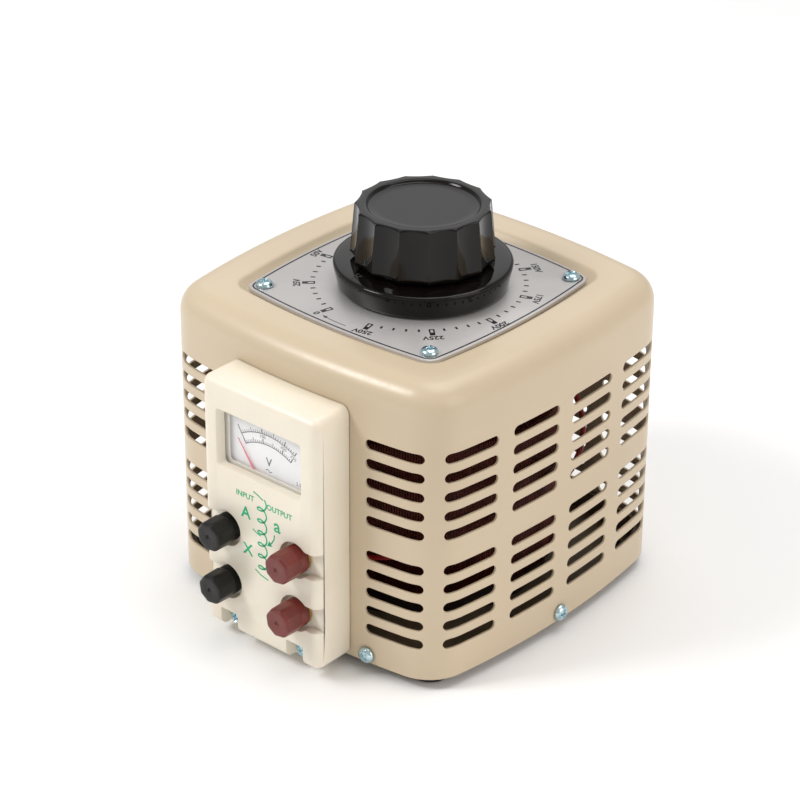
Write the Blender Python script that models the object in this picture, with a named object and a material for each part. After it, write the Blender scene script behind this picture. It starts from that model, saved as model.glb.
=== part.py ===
"""Variable autotransformer with a front panel, a dial and a fluted control knob.

All sizes are in metres, +Z is up, the front panel faces -Y, and the feet stand on Z = 0.
The sheet-metal case is a square whose sides bow outwards.  Everything is placed from the
middle of the case, and the whole assembly hangs on one empty that puts the origin under
the middle of the overall box.
"""
import math

import bmesh
import bpy
from mathutils import Matrix, Vector

MM = 0.001

# ---------------------------------------------------------------- clearances
seat_gap = 0.3 * MM            # between two pieces that rest on each other
hole_gap = 0.35 * MM           # between a screw's shank and the hole it passes
running_gap = 0.15 * MM        # between the shaft and its bushes

# ---------------------------------------------------------------- case
case_width = 128.4 * MM        # across the middles of two opposite sides
side_bow_radius = 313.0 * MM
corner_radius = 15.4 * MM
sheet = 1.0 * MM
foot_height = 4.0 * MM
case_height = 107.2 * MM       # from the cover's lower edge to its flat top
top_round = 9.0 * MM
side_stops = (-1.0, -0.6, 0.0, 0.6, 1.0)  # corners of the faceted sides, between slot columns
recess_width = 92.4 * MM       # pressed seat of the dial plate, across its middle
recess_bow_radius = 290.0 * MM
recess_corner = 6.0 * MM
recess_depth = 2.8 * MM
recess_slope = 2.0 * MM

# ---------------------------------------------------------------- ventilation slots
slot_length = 22.0 * MM
slot_height = 3.7 * MM
slot_pitch = 7.03 * MM
slots_in_group = 5
slot_column_pitch = 28.9 * MM
lowest_slot = 17.25 * MM       # height of the lowest row above the ground
group_gap = 13.1 * MM          # from the lower group's top row to the upper group's first

# ---------------------------------------------------------------- base and feet
base_sheet = 1.5 * MM
base_flange = 9.2 * MM
foot_radius = 7.0 * MM
foot_place = 48.5 * MM
foot_stem_radius = 2.4 * MM
foot_bulb_radius = 3.4 * MM

# ---------------------------------------------------------------- dial plate
plate_width = 87.4 * MM
plate_bow_radius = 282.0 * MM
plate_corner = 4.5 * MM
plate_sheet = 1.3 * MM
plate_screw_place = 36.25 * MM

# ---------------------------------------------------------------- screws
screw_head_radius = 3.0 * MM
screw_head_height = 1.9 * MM
screw_shank_radius = 1.5 * MM
cross_width = 0.9 * MM
cross_reach = 1.9 * MM
cross_depth = 1.1 * MM
edge_screw_height = 3.0 * MM   # above the cover's lower edge
edge_screw_length = 6.0 * MM
front_edge_screw_place = 33.1 * MM

# ---------------------------------------------------------------- coil
coil_offset_x = 1.2 * MM       # the coil stands this far off the middle of the case
coil_offset_y = 1.0 * MM
coil_outer = 50.0 * MM
coil_inner = 25.0 * MM
coil_height = 58.0 * MM
winding_thickness = 2.5 * MM
winding_turn = 344.0           # degrees that the winding covers; the leads use the rest
seat_height = 10.5 * MM
seat_web = 3.0 * MM
seat_rim_outer = 44.0 * MM
seat_rim_inner = 39.0 * MM
clamp_radius = 34.0 * MM
clamp_thickness = 4.0 * MM
hub_radius = 13.0 * MM
hub_depth = 10.0 * MM
bush_outer = 6.2 * MM
bush_flange = 9.0 * MM
bush_flange_thickness = 1.5 * MM
clamp_screw_circle = 18.5 * MM
clamp_screw_radius = 2.5 * MM
clamp_head_radius = 4.4 * MM
clamp_head_height = 3.0 * MM
stop_circle = 28.0 * MM
stop_radius = 2.0 * MM
stop_height = 9.0 * MM

# ---------------------------------------------------------------- shaft, arm and brush
shaft_radius = 3.0 * MM
shaft_foot_gap = 1.0 * MM
dial_travel = 331.7            # degrees from 0 V to the top of the scale
zero_angle = 255.0             # where the pointer stands at 0 V, from +X, seen from above
brush_angle = 75.0             # where the brush stands at 0 V
arm_lift = 5.0 * MM            # from the upper clamp to the arm
arm_thickness = 5.0 * MM
arm_half_width = 4.0 * MM
arm_hub_radius = 9.5 * MM
arm_reach = 49.0 * MM
arm_pad = 8.0 * MM             # half width of the arm round the brush holder
brush_circle = 42.0 * MM
holder_size = (9.0 * MM, 7.0 * MM)
holder_wall = 1.2 * MM
brush_length = 9.5 * MM
spring_wire = 0.35 * MM
spring_radius = 1.6 * MM
spring_turns = 4
collector_width = 6.0 * MM
collector_sheet = 0.8 * MM
collector_reach = 26.0 * MM
collector_angle = 195.0        # round the shaft, between two clamp screws

# ---------------------------------------------------------------- knob
knob_skirt_gap = 0.7 * MM      # from the dial plate to the skirt's lower rim
knob_height = 28.2 * MM
skirt_height = 8.2 * MM
skirt_top_radius = 30.1 * MM
skirt_rim_radius = 28.5 * MM
knob_wall = 1.6 * MM
grip_lower_radius = 24.4 * MM
grip_upper_radius = 22.9 * MM
grip_foot_radius = 22.4 * MM
flute_count = 15
flute_depth = 1.3 * MM
cap_recess_radius = 18.9 * MM
cap_recess_depth = 1.0 * MM
knob_hub_radius = 8.5 * MM
knob_screw_radius = 2.0 * MM

# ---------------------------------------------------------------- front panel
panel_offset_x = 0.8 * MM      # the panel's middle, right of the middle of the case
panel_width = 51.0 * MM
panel_height = 93.8 * MM
panel_depth = 14.8 * MM        # in front of the middle of the case's front
panel_wall = 2.2 * MM
panel_corner = 3.0 * MM
panel_front_round = 3.5 * MM
panel_lift = 0.3 * MM          # above the cover's lower edge
block_top = 51.0 * MM          # height of the thick block that carries the posts
window_width = 37.0 * MM
window_height = 21.6 * MM
window_middle = 77.3 * MM
window_slope = 1.6 * MM
notch_width = 7.6 * MM
notch_height = 8.0 * MM
notch_depth = 4.8 * MM
lug_thickness = 3.0 * MM
panel_screw_place = 14.9 * MM
panel_screw_height = 3.7 * MM  # above the cover's lower edge

# ---------------------------------------------------------------- binding posts
post_place = 15.3 * MM         # left and right of the panel's middle
post_heights = (44.0 * MM, 23.6 * MM)
pocket_depth = 3.4 * MM
pocket_radius = 6.5 * MM
pocket_half_height = 4.7 * MM
stud_radius = 2.0 * MM
stud_flange_radius = 4.8 * MM
stud_flange_thickness = 0.7 * MM
cap_radius = 5.5 * MM
cap_collar_radius = 5.0 * MM
cap_length = 10.6 * MM
cap_collar_length = 3.2 * MM
cap_top = 1.6 * MM
insert_radius = 3.4 * MM
post_nut_radius = 4.0 * MM
post_nut_thickness = 2.6 * MM

# ---------------------------------------------------------------- meter
pane_thickness = 1.0 * MM
pane_overlap = 2.0 * MM
needle_gap = 0.6 * MM
needle_thickness = 0.4 * MM
scale_sheet = 0.6 * MM
meter_width = 43.0 * MM
meter_top = 91.0 * MM
meter_wall = 1.2 * MM
meter_depth = 7.6 * MM
pivot_height = 59.4 * MM
pivot_radius = 0.6 * MM
needle_hub_radius = 2.0 * MM
needle_length = 22.0 * MM
needle_tail = 5.0 * MM
needle_zero_angle = 126.0      # degrees from +X, seen from the front
magnet_radius = 9.0 * MM

# ---------------------------------------------------------------- internal leads
lead_radius = 1.0 * MM
lead_hole_radius = 5.0 * MM
lead_hole_height = 33.8 * MM

# ---------------------------------------------------------------- worked-out places
case_half = case_width / 2
cover_bottom = foot_height
cover_top = cover_bottom + case_height
recess_top = cover_top - recess_depth
plate_bottom = recess_top + seat_gap
plate_top = plate_bottom + plate_sheet
base_bottom = cover_bottom + 0.4 * MM
base_top = base_bottom + base_sheet
seat_bottom = base_top + seat_gap
seat_top = seat_bottom + seat_height
coil_bottom = seat_top + seat_gap
coil_top = coil_bottom + coil_height
clamp_bottom = coil_top + seat_gap
clamp_top = clamp_bottom + clamp_thickness
arm_bottom = clamp_top + arm_lift
arm_top = arm_bottom + arm_thickness
knob_bottom = plate_top + knob_skirt_gap
knob_top = knob_bottom + knob_height
shaft_bottom = seat_bottom + shaft_foot_gap
shaft_top = knob_top - cap_recess_depth - 6.0 * MM
case_front = -case_half
panel_front = case_front - panel_depth
panel_bottom = cover_bottom + panel_lift
panel_top = panel_bottom + panel_height
pocket_floor = panel_front + pocket_depth
cap_back = pocket_floor - stud_flange_thickness - 2 * seat_gap
cap_front = cap_back - cap_length
pane_front = panel_front + panel_wall + seat_gap
pane_back = pane_front + pane_thickness
needle_front = pane_back + needle_gap
scale_front = needle_front + needle_thickness + 0.5 * MM
scale_back = scale_front + scale_sheet
meter_front = scale_back + seat_gap
assembly_y = -(cap_front + case_half + seat_gap + screw_head_height) / 2
edge_screw_z = cover_bottom + edge_screw_height
panel_screw_z = cover_bottom + panel_screw_height
panel_screw_seat = panel_front + notch_depth


# ================================================================ helpers
def clear_scene():
    for thing in list(bpy.data.objects):
        bpy.data.objects.remove(thing, do_unlink=True)


def material(name, colour, roughness, metallic=0.0, alpha=1.0):
    """A Principled material; colour is linear red, green and blue."""
    made = bpy.data.materials.new(name)
    made.use_nodes = True
    shader = made.node_tree.nodes["Principled BSDF"]
    shader.inputs["Base Color"].default_value = (*colour, 1.0)
    shader.inputs["Roughness"].default_value = roughness
    shader.inputs["Metallic"].default_value = metallic
    shader.inputs["Alpha"].default_value = alpha
    made.diffuse_color = (*colour, alpha)
    return made


def empty(name, place, parent=None):
    made = bpy.data.objects.new(name, None)
    bpy.context.scene.collection.objects.link(made)
    made.location = place
    made.parent = parent
    return made


def finish(name, bm, finish_material, parent, flat=False):
    """Turn a bmesh into a named object under its parent."""
    bmesh.ops.recalc_face_normals(bm, faces=bm.faces)
    mesh = bpy.data.meshes.new(name)
    bm.to_mesh(mesh)
    bm.free()
    if finish_material:
        mesh.materials.append(finish_material)
    if not flat:
        mesh.shade_smooth()
        mesh.set_sharp_from_angle(angle=math.radians(32))
    made = bpy.data.objects.new(name, mesh)
    bpy.context.scene.collection.objects.link(made)
    made.parent = parent
    return made


def circle(radius, steps, middle=(0.0, 0.0), phase=0.0):
    turn = 2 * math.pi / steps
    return [(middle[0] + radius * math.cos(phase + i * turn),
             middle[1] + radius * math.sin(phase + i * turn)) for i in range(steps)]


def bridge(bm, lower, upper):
    """Faces between two rings of corners; a ring of one corner is a tip."""
    count = max(len(lower), len(upper))
    for i in range(count):
        j = (i + 1) % count
        if len(lower) == 1:
            bm.faces.new((lower[0], upper[j], upper[i]))
        elif len(upper) == 1:
            bm.faces.new((lower[i], lower[j], upper[0]))
        else:
            bm.faces.new((lower[i], lower[j], upper[j], upper[i]))


def loft(rings, closed=False):
    """Skin a list of rings of points.  An open run is capped at both ends."""
    bm = bmesh.new()
    corners = [[bm.verts.new(point) for point in ring] for ring in rings]
    for lower, upper in zip(corners, corners[1:]):
        bridge(bm, lower, upper)
    if closed:
        bridge(bm, corners[-1], corners[0])
    else:
        for end in (corners[0], corners[-1]):
            if len(end) > 2:
                bm.faces.new(end)
    return bm


def prism(outline, low, high):
    return loft([[(x, y, z) for x, y in outline] for z in (low, high)])


def turned(profile, steps=24, closed=False):
    """Turn a run of (radius, height) points round Z; radius 0 makes a tip."""
    rings = []
    for radius, height in profile:
        if radius == 0:
            rings.append([(0, 0, height)])
        else:
            rings.append([(x, y, height) for x, y in circle(radius, steps)])
    return loft(rings, closed)


def block(low, high):
    (x0, y0, z0), (x1, y1, z1) = low, high
    return prism([(x0, y0), (x1, y0), (x1, y1), (x0, y1)], z0, z1)


def cut(target, shapes, name):
    """Cut the joined shapes, none of which touch, out of the target."""
    joined = bmesh.new()
    for shape in shapes:
        bmesh.ops.recalc_face_normals(shape, faces=shape.faces)
        scratch = bpy.data.meshes.new("scratch")
        shape.to_mesh(scratch)
        shape.free()
        joined.from_mesh(scratch)
        bpy.data.meshes.remove(scratch)
    mesh = bpy.data.meshes.new(name)
    joined.to_mesh(mesh)
    joined.free()
    cutter = bpy.data.objects.new(name, mesh)
    bpy.context.scene.collection.objects.link(cutter)
    cutter.parent = target.parent
    cutter.location = target.location
    cutter.rotation_euler = target.rotation_euler
    cutter.hide_render = True
    cutter.display_type = "WIRE"
    boolean = target.modifiers.new(name, "BOOLEAN")
    boolean.operation = "DIFFERENCE"
    boolean.solver = "EXACT"
    boolean.object = cutter


def moved(bm, place=(0, 0, 0), turn=None):
    """Turn, then shift, a shape; turn is an angle in degrees and an axis letter."""
    if turn:
        spin = Matrix.Rotation(math.radians(turn[0]), 3, turn[1])
        bmesh.ops.rotate(bm, cent=(0, 0, 0), matrix=spin, verts=bm.verts)
    bmesh.ops.translate(bm, vec=place, verts=bm.verts)
    return bm


# ================================================================ bowed square
def bowed_square(half, bow_radius, corner, inset=0.0):
    """Sizes of a square with bowed sides and round corners, inset evenly."""
    half_in = half - inset
    bow = bow_radius - inset
    small = corner - inset
    offset = bow - half_in
    middle = (-offset + math.sqrt(2 * (bow - small) ** 2 - offset ** 2)) / 2
    tilt = math.atan2(middle, middle + offset)
    return half_in, bow, small, middle, tilt


def bowed_outline(half, bow_radius, corner, inset=0.0, corner_steps=4):
    half_in, bow, small, middle, tilt = bowed_square(half, bow_radius, corner, inset)
    points = []
    for quarter in range(4):
        face = quarter * math.pi / 2
        side = []
        for share in side_stops:
            angle = tilt * share
            side.append((half_in - bow + bow * math.cos(angle), bow * math.sin(angle)))
        sweep = math.pi / 2 - 2 * tilt
        for i in range(1, corner_steps):
            angle = tilt + sweep * i / corner_steps
            side.append((middle + small * math.cos(angle), middle + small * math.sin(angle)))
        for x, y in side:
            points.append((x * math.cos(face) - y * math.sin(face),
                           x * math.sin(face) + y * math.cos(face)))
    return points


def case_outline(inset=0.0):
    return bowed_outline(case_half, side_bow_radius, corner_radius, inset)


def wall_point(distance, offset):
    """A point beside the case wall: distance runs along it from the middle of the +X side."""
    half_in, bow, small, middle, tilt = bowed_square(case_half, side_bow_radius, corner_radius)
    straight = bow * tilt
    quarter_length = 2 * straight + small * (math.pi / 2 - 2 * tilt)
    quarter = math.floor(distance / quarter_length + 0.5)
    along = distance - quarter * quarter_length
    if abs(along) <= straight:
        angle = along / bow
        point = Vector((half_in - bow, 0)) + (bow + offset) * Vector((math.cos(angle), math.sin(angle)))
    else:
        sign = math.copysign(1, along)
        angle = sign * (tilt + (abs(along) - straight) / small)
        point = Vector((middle, sign * middle))
        point += (small + offset) * Vector((math.cos(angle), math.sin(angle)))
    point.rotate(Matrix.Rotation(quarter * math.pi / 2, 2))
    return point


def wall_quarter():
    half_in, bow, small, middle, tilt = bowed_square(case_half, side_bow_radius, corner_radius)
    return 2 * bow * tilt + small * (math.pi / 2 - 2 * tilt)


# ================================================================ small hardware
def screw_shape(length, head_radius=screw_head_radius, head_height=screw_head_height):
    """A pan-head screw with its head's underside on Z = 0."""
    return turned([(0, head_height), (0.62 * head_radius, 0.9 * head_height),
                   (0.92 * head_radius, 0.55 * head_height), (head_radius, 0.1 * head_height),
                   (head_radius, 0), (screw_shank_radius, 0),
                   (screw_shank_radius, -length), (0, -length)], 10)


def screw(name, place, outward, length):
    head = finish(name, screw_shape(length), zinc, assembly)
    head.location = place
    head.rotation_euler = Vector(outward).to_track_quat("Z", "Y").to_euler()
    half = cross_width / 2
    top = screw_head_height + seat_gap
    low = screw_head_height - cross_depth
    outline = [(-cross_reach, -half), (-half, -half), (-half, -cross_reach), (half, -cross_reach),
               (half, -half), (cross_reach, -half), (cross_reach, half), (half, half),
               (half, cross_reach), (-half, cross_reach), (-half, half), (-cross_reach, half)]
    cut(head, [prism(outline, low, top)], name + "_cross")
    return head


def hole(place, outward, radius, reach):
    """A round cutter centred on a place, reaching both ways along a direction."""
    shape = turned([(0, -reach), (radius, -reach), (radius, reach), (0, reach)], 12)
    spin = Vector(outward).to_track_quat("Z", "Y").to_matrix()
    bmesh.ops.rotate(shape, cent=(0, 0, 0), matrix=spin, verts=shape.verts)
    bmesh.ops.translate(shape, vec=place, verts=shape.verts)
    return shape


def tube(name, points, radius, lead_material):
    """A lead along a smooth run of points, with closed ends."""
    curve = bpy.data.curves.new(name, "CURVE")
    curve.dimensions = "3D"
    curve.bevel_depth = radius
    curve.bevel_resolution = 2
    curve.use_fill_caps = True
    spline = curve.splines.new("POLY")
    smooth = smooth_points(points)
    spline.points.add(len(smooth) - 1)
    for slot, point in zip(spline.points, smooth):
        slot.co = (*point, 1.0)
    curve.materials.append(lead_material)
    made = bpy.data.objects.new(name, curve)
    bpy.context.scene.collection.objects.link(made)
    made.parent = assembly
    return made


def smooth_points(points, steps=2):
    """Read a Catmull-Rom curve through the points."""
    knots = [Vector(point) for point in points]
    knots = [2 * knots[0] - knots[1]] + knots + [2 * knots[-1] - knots[-2]]
    smooth = []
    for a, b, c, d in zip(knots, knots[1:], knots[2:], knots[3:]):
        for i in range(steps):
            t = i / steps
            smooth.append(0.5 * (2 * b + (c - a) * t + (2 * a - 5 * b + 4 * c - d) * t ** 2
                                 + (3 * b - a - 3 * c + d) * t ** 3))
    smooth.append(knots[-2])
    return smooth


# ================================================================ case
def edge_screw_sites():
    """Name, place on the cover's outer face and outward direction of each edge screw."""
    quarter = wall_quarter()
    sites = []
    for name, distance in (("cover_screw_right", 0.0), ("cover_screw_back", quarter),
                           ("cover_screw_left", 2 * quarter),
                           ("cover_screw_front_left", 3 * quarter - front_edge_screw_place),
                           ("cover_screw_front_right", 3 * quarter + front_edge_screw_place)):
        face = wall_point(distance, 0.0)
        outer = wall_point(distance, 0.001)
        outward = (outer - face).normalized()
        sites.append((name, Vector((face.x, face.y, edge_screw_z)),
                      Vector((outward.x, outward.y, 0.0))))
    return sites


def panel_screw_sites():
    return [(name, panel_offset_x + side * panel_screw_place)
            for name, side in (("panel_screw_left", -1), ("panel_screw_right", 1))]


def plate_screw_sites():
    return [("plate_screw_%d" % (i + 1), x * plate_screw_place, y * plate_screw_place)
            for i, (x, y) in enumerate(((-1, -1), (1, -1), (1, 1), (-1, 1)))]


def vent_cutters():
    """One curved cutter for each ventilation slot, wrapped round the wall."""
    quarter = wall_quarter()
    rows = []
    for group in range(2):
        first = lowest_slot + group * ((slots_in_group - 1) * slot_pitch + group_gap)
        rows += [first + i * slot_pitch for i in range(slots_in_group)]
    tangent = side_bow_radius * bowed_square(case_half, side_bow_radius, corner_radius)[4]
    columns = []
    for side in range(4):
        for step in (-1.5, -0.5, 0.5, 1.5):
            middle = step * slot_column_pitch
            to_corner = math.copysign(tangent - abs(middle), step)
            behind_panel = side == 3 and abs(step) < 1
            if not behind_panel:
                columns.append((side * quarter + middle, to_corner))
    round_end = slot_height / 2
    half = slot_length / 2 - round_end
    end = [(half + round_end * math.cos(a), round_end * math.sin(a))
           for a in (math.radians(30), math.radians(90))]
    cutters = []
    for column, to_corner in columns:
        bend = [(to_corner, round_end)] if abs(to_corner) < half else []
        stations = end + bend + [(-along, up) for along, up in reversed(end)]
        for row in rows:
            rings = []
            for along, up in stations:
                inside = wall_point(column + along, -sheet - 1.0 * MM)
                outside = wall_point(column + along, 1.0 * MM)
                rings.append([(inside.x, inside.y, row - up), (outside.x, outside.y, row - up),
                              (outside.x, outside.y, row + up), (inside.x, inside.y, row + up)])
            cutters.append(loft(rings))
    return cutters


def cover():
    rings = []

    def add(outline, height):
        rings.append([(x, y, height) for x, y in outline])

    def recess(inset):
        return bowed_outline(recess_width / 2, recess_bow_radius, recess_corner, inset)

    def shaft_hole(radius):
        middle = (coil_offset_x, coil_offset_y)
        ring = []
        for x, y in case_outline():
            angle = math.atan2(y - middle[1], x - middle[0])
            ring.append((middle[0] + radius * math.cos(angle),
                         middle[1] + radius * math.sin(angle)))
        return ring

    opening = shaft_radius + 3.0 * MM
    for side, inset in (("outer", 0.0), ("inner", sheet)):
        skin = [(case_outline(inset), cover_bottom)]
        shoulder = cover_top - top_round
        for step in range(5):
            angle = math.radians(22.5 * step)
            tuck = inset + (top_round - inset) * (1 - math.cos(angle))
            skin.append((case_outline(tuck), shoulder + (top_round - inset) * math.sin(angle)))
        skin.append((recess(inset), cover_top - inset))
        skin.append((recess(recess_slope + inset * 0.4), recess_top - inset))
        skin.append((shaft_hole(opening), recess_top - inset))
        if side == "inner":
            skin.reverse()
        for outline, height in skin:
            add(outline, height)
    body = finish("cover", loft(rings, closed=True), enamel, assembly)
    cutters = vent_cutters()
    for name, place, outward in edge_screw_sites():
        cutters.append(hole(place, outward, screw_shank_radius + hole_gap, 3 * sheet))
    for name, x in panel_screw_sites():
        cutters.append(hole((x, case_front, panel_screw_z), (0, -1, 0),
                            screw_shank_radius + hole_gap, 4 * sheet))
    for name, x, y in plate_screw_sites():
        cutters.append(hole((x, y, recess_top), (0, 0, 1), screw_shank_radius + hole_gap, 2 * sheet))
    cutters.append(hole((panel_offset_x, case_front, lead_hole_height), (0, -1, 0),
                        lead_hole_radius, 4 * sheet))
    cut(body, cutters, "cover_openings")


def base_plate():
    outer = case_outline(sheet + seat_gap)
    inner = case_outline(sheet + seat_gap + base_sheet)
    flange_top = base_bottom + base_flange
    rings = [[(x, y, base_bottom) for x, y in outer], [(x, y, flange_top) for x, y in outer],
             [(x, y, flange_top) for x, y in inner], [(x, y, base_top) for x, y in inner]]
    plate = finish("base_plate", loft(rings), dark_steel, assembly)
    cutters = []
    for name, place, outward in edge_screw_sites():
        cutters.append(hole(place, outward, screw_shank_radius + hole_gap, edge_screw_length + 1 * MM))
    for name, x in panel_screw_sites():
        cutters.append(hole((x, case_front, panel_screw_z), (0, -1, 0),
                            screw_shank_radius + hole_gap, 5 * MM))
    for name, x, y in foot_sites():
        cutters.append(hole((x, y, base_bottom), (0, 0, 1), foot_stem_radius + seat_gap, 4 * MM))
    for name, x, y in clamp_screw_sites():
        cutters.append(hole((x, y, base_bottom), (0, 0, 1), clamp_screw_radius + hole_gap, 4 * MM))
    cut(plate, cutters, "base_openings")


def foot_sites():
    return [("foot_%d" % (i + 1), x * foot_place, y * foot_place)
            for i, (x, y) in enumerate(((-1, -1), (1, -1), (1, 1), (-1, 1)))]


def feet():
    """Rubber feet, each held by a bulb that was pulled through the base plate."""
    under = base_bottom - seat_gap
    over = base_top + seat_gap
    for name, x, y in foot_sites():
        profile = [(0, 0), (foot_radius - 0.8 * MM, 0), (foot_radius, 0.8 * MM),
                   (foot_radius, under), (foot_stem_radius, under), (foot_stem_radius, over),
                   (foot_bulb_radius, over), (foot_stem_radius, over + 3 * MM), (0, over + 3 * MM)]
        foot = finish(name, turned(profile, 12), rubber, assembly)
        foot.location = (x, y, 0)


def dial_plate():
    outline = bowed_outline(plate_width / 2, plate_bow_radius, plate_corner)
    plate = finish("dial_plate", prism(outline, plate_bottom, plate_top), plate_metal, assembly)
    cutters = [hole((coil_offset_x, coil_offset_y, plate_bottom), (0, 0, 1),
                    shaft_radius + 3.0 * MM, 3 * MM)]
    for name, x, y in plate_screw_sites():
        cutters.append(hole((x, y, plate_bottom), (0, 0, 1), screw_shank_radius + hole_gap, 3 * MM))
    cut(plate, cutters, "plate_openings")
    for name, x, y in plate_screw_sites():
        screw(name, (x, y, plate_top + seat_gap), (0, 0, 1), 5 * MM)


def edge_screws():
    for name, place, outward in edge_screw_sites():
        screw(name, place + seat_gap * outward, outward, edge_screw_length)


# ================================================================ coil
def clamp_screw_sites():
    """Three clamp screws round the shaft, clear of the winding's start."""
    sites = []
    for i in range(3):
        angle = math.radians(brush_angle + 60 + 120 * i)
        sites.append(("clamp_screw_%d" % (i + 1),
                      coil_offset_x + clamp_screw_circle * math.cos(angle),
                      coil_offset_y + clamp_screw_circle * math.sin(angle)))
    return sites


def coil():
    centre = (coil_offset_x, coil_offset_y, 0)
    inner_wall = winding_thickness + seat_gap
    core_profile = [(coil_inner + inner_wall, coil_bottom + inner_wall),
                    (coil_outer - inner_wall, coil_bottom + inner_wall),
                    (coil_outer - inner_wall, coil_top - inner_wall),
                    (coil_inner + inner_wall, coil_top - inner_wall)]
    core = finish("core", turned(core_profile, 36, closed=True), core_steel, assembly)
    core.location = centre
    bm = bmesh.new()
    steps = 36
    gap_middle = brush_angle + (360 - dial_travel) / 2
    first = math.radians(gap_middle + (360 - winding_turn) / 2)
    stations = []
    for i in range(steps + 1):
        angle = first + math.radians(winding_turn) * i / steps
        loops = []
        for wall in (0.0, winding_thickness):
            corners = [(coil_inner + wall, coil_bottom + wall), (coil_outer - wall, coil_bottom + wall),
                       (coil_outer - wall, coil_top - wall), (coil_inner + wall, coil_top - wall)]
            loops.append([bm.verts.new((r * math.cos(angle), r * math.sin(angle), z))
                          for r, z in corners])
        stations.append(loops)
    for near, far in zip(stations, stations[1:]):
        for loop in range(2):
            bridge(bm, near[loop], far[loop])
    for loops in (stations[0], stations[-1]):
        bridge(bm, loops[0], loops[1])
    winding = finish("winding", bm, copper, assembly)
    winding.location = centre


def coil_supports():
    """Moulded seat under the coil and moulded clamp over it, each with a brass bush."""
    centre = (coil_offset_x, coil_offset_y, 0)
    bore = bush_outer + seat_gap
    seat_profile = [(bore, seat_bottom), (seat_rim_outer, seat_bottom), (seat_rim_outer, seat_top),
                    (seat_rim_inner, seat_top), (seat_rim_inner, seat_bottom + seat_web),
                    (hub_radius, seat_bottom + seat_web), (hub_radius, seat_top), (bore, seat_top)]
    seat = finish("coil_seat", turned(seat_profile, 24, closed=True), phenolic, assembly)
    seat.location = centre
    clamp_profile = [(bore, clamp_bottom - hub_depth), (hub_radius, clamp_bottom - hub_depth),
                     (hub_radius, clamp_bottom), (clamp_radius, clamp_bottom),
                     (clamp_radius, clamp_top), (bore, clamp_top)]
    clamp = finish("coil_clamp", turned(clamp_profile, 24, closed=True), phenolic, assembly)
    clamp.location = centre
    screw_holes = []
    seat_holes = []
    for name, x, y in clamp_screw_sites():
        place = (x - coil_offset_x, y - coil_offset_y)
        radius = clamp_screw_radius + hole_gap
        screw_holes.append(hole((*place, clamp_bottom), (0, 0, 1), radius, 2 * clamp_thickness))
        seat_holes.append(hole((*place, seat_bottom), (0, 0, 1), radius, 2 * seat_web))
    cut(clamp, screw_holes, "clamp_openings")
    cut(seat, seat_holes, "seat_openings")
    stop_angle = math.radians(brush_angle + (360 - dial_travel) / 2)
    stop = turned([(0, 0), (stop_radius, 0), (stop_radius, stop_height), (0, stop_height)], 16)
    stop = finish("stop_pin", stop, zinc, assembly)
    stop.location = (coil_offset_x + stop_circle * math.cos(stop_angle),
                     coil_offset_y + stop_circle * math.sin(stop_angle), clamp_top + seat_gap)
    for name, face in (("lower_bush", seat_top), ("upper_bush", clamp_top)):
        inner = shaft_radius + running_gap
        flange = face + seat_gap
        profile = [(inner, face - 8 * MM), (bush_outer, face - 8 * MM), (bush_outer, flange),
                   (bush_flange, flange), (bush_flange, flange + bush_flange_thickness),
                   (inner, flange + bush_flange_thickness)]
        bush = finish(name, turned(profile, 24, closed=True), brass, assembly)
        bush.location = centre
    for name, x, y in clamp_screw_sites():
        foot = base_bottom - 1.5 * MM
        head = clamp_top + seat_gap
        profile = [(0, foot), (clamp_screw_radius, foot), (clamp_screw_radius, head),
                   (clamp_head_radius, head), (clamp_head_radius, head + clamp_head_height),
                   (0, head + clamp_head_height)]
        bolt = finish(name, turned(profile, 12), zinc, assembly)
        bolt.location = (x, y, 0)


def collector():
    """Springy brass strip that stands on the clamp and touches the arm's brass hub."""
    bottom = clamp_top + seat_gap
    top = arm_bottom - seat_gap
    inner = shaft_radius + 2.0 * MM
    outline = [(collector_reach - 7 * MM, bottom), (collector_reach, bottom),
               (collector_reach, top - collector_sheet), (collector_reach, top), (inner, top),
               (inner, top - collector_sheet), (collector_reach - collector_sheet, top - collector_sheet),
               (collector_reach - collector_sheet, bottom + collector_sheet),
               (collector_reach - 7 * MM, bottom + collector_sheet)]
    strip = moved(prism(outline, -collector_width / 2, collector_width / 2), turn=(90, "X"))
    strip = finish("collector_strip", strip, brass, assembly, flat=True)
    strip.location = (coil_offset_x, coil_offset_y, 0)
    strip.rotation_euler = (0, 0, math.radians(collector_angle))


# ================================================================ turning control
def arm_outline():
    """Hub, narrow web and a wide pad round the brush, along +X."""
    bend = math.asin(arm_half_width / arm_hub_radius)
    points = [(arm_hub_radius * math.cos(a), arm_hub_radius * math.sin(a))
              for a in (bend + (2 * math.pi - 2 * bend) * i / 20 for i in range(21))]
    pad_start = brush_circle - arm_pad
    points += [(pad_start - 2 * MM, -arm_half_width), (pad_start, -arm_pad), (arm_reach, -arm_pad),
               (arm_reach, arm_pad), (pad_start, arm_pad), (pad_start - 2 * MM, arm_half_width)]
    return points


def control():
    """Shaft, arm, brush holder and knob, which turn as one."""
    shaft_profile = [(0, shaft_bottom), (shaft_radius, shaft_bottom), (shaft_radius, shaft_top),
                     (0, shaft_top)]
    finish("shaft", turned(shaft_profile, 24), bright_steel, turning)
    arm = finish("brush_arm", prism(arm_outline(), arm_bottom, arm_top), cast_alloy, turning)
    arm.rotation_euler = (0, 0, math.radians(brush_angle))
    long_side, short_side = (size / 2 + seat_gap for size in holder_size)
    cut(arm, [hole((0, 0, arm_bottom), (0, 0, 1), shaft_radius + running_gap, 2 * arm_thickness),
              block((brush_circle - long_side, -short_side, arm_bottom - 5 * MM),
                    (brush_circle + long_side, short_side, arm_top + 5 * MM))], "arm_openings")
    brush_holder()
    knob()


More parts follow.
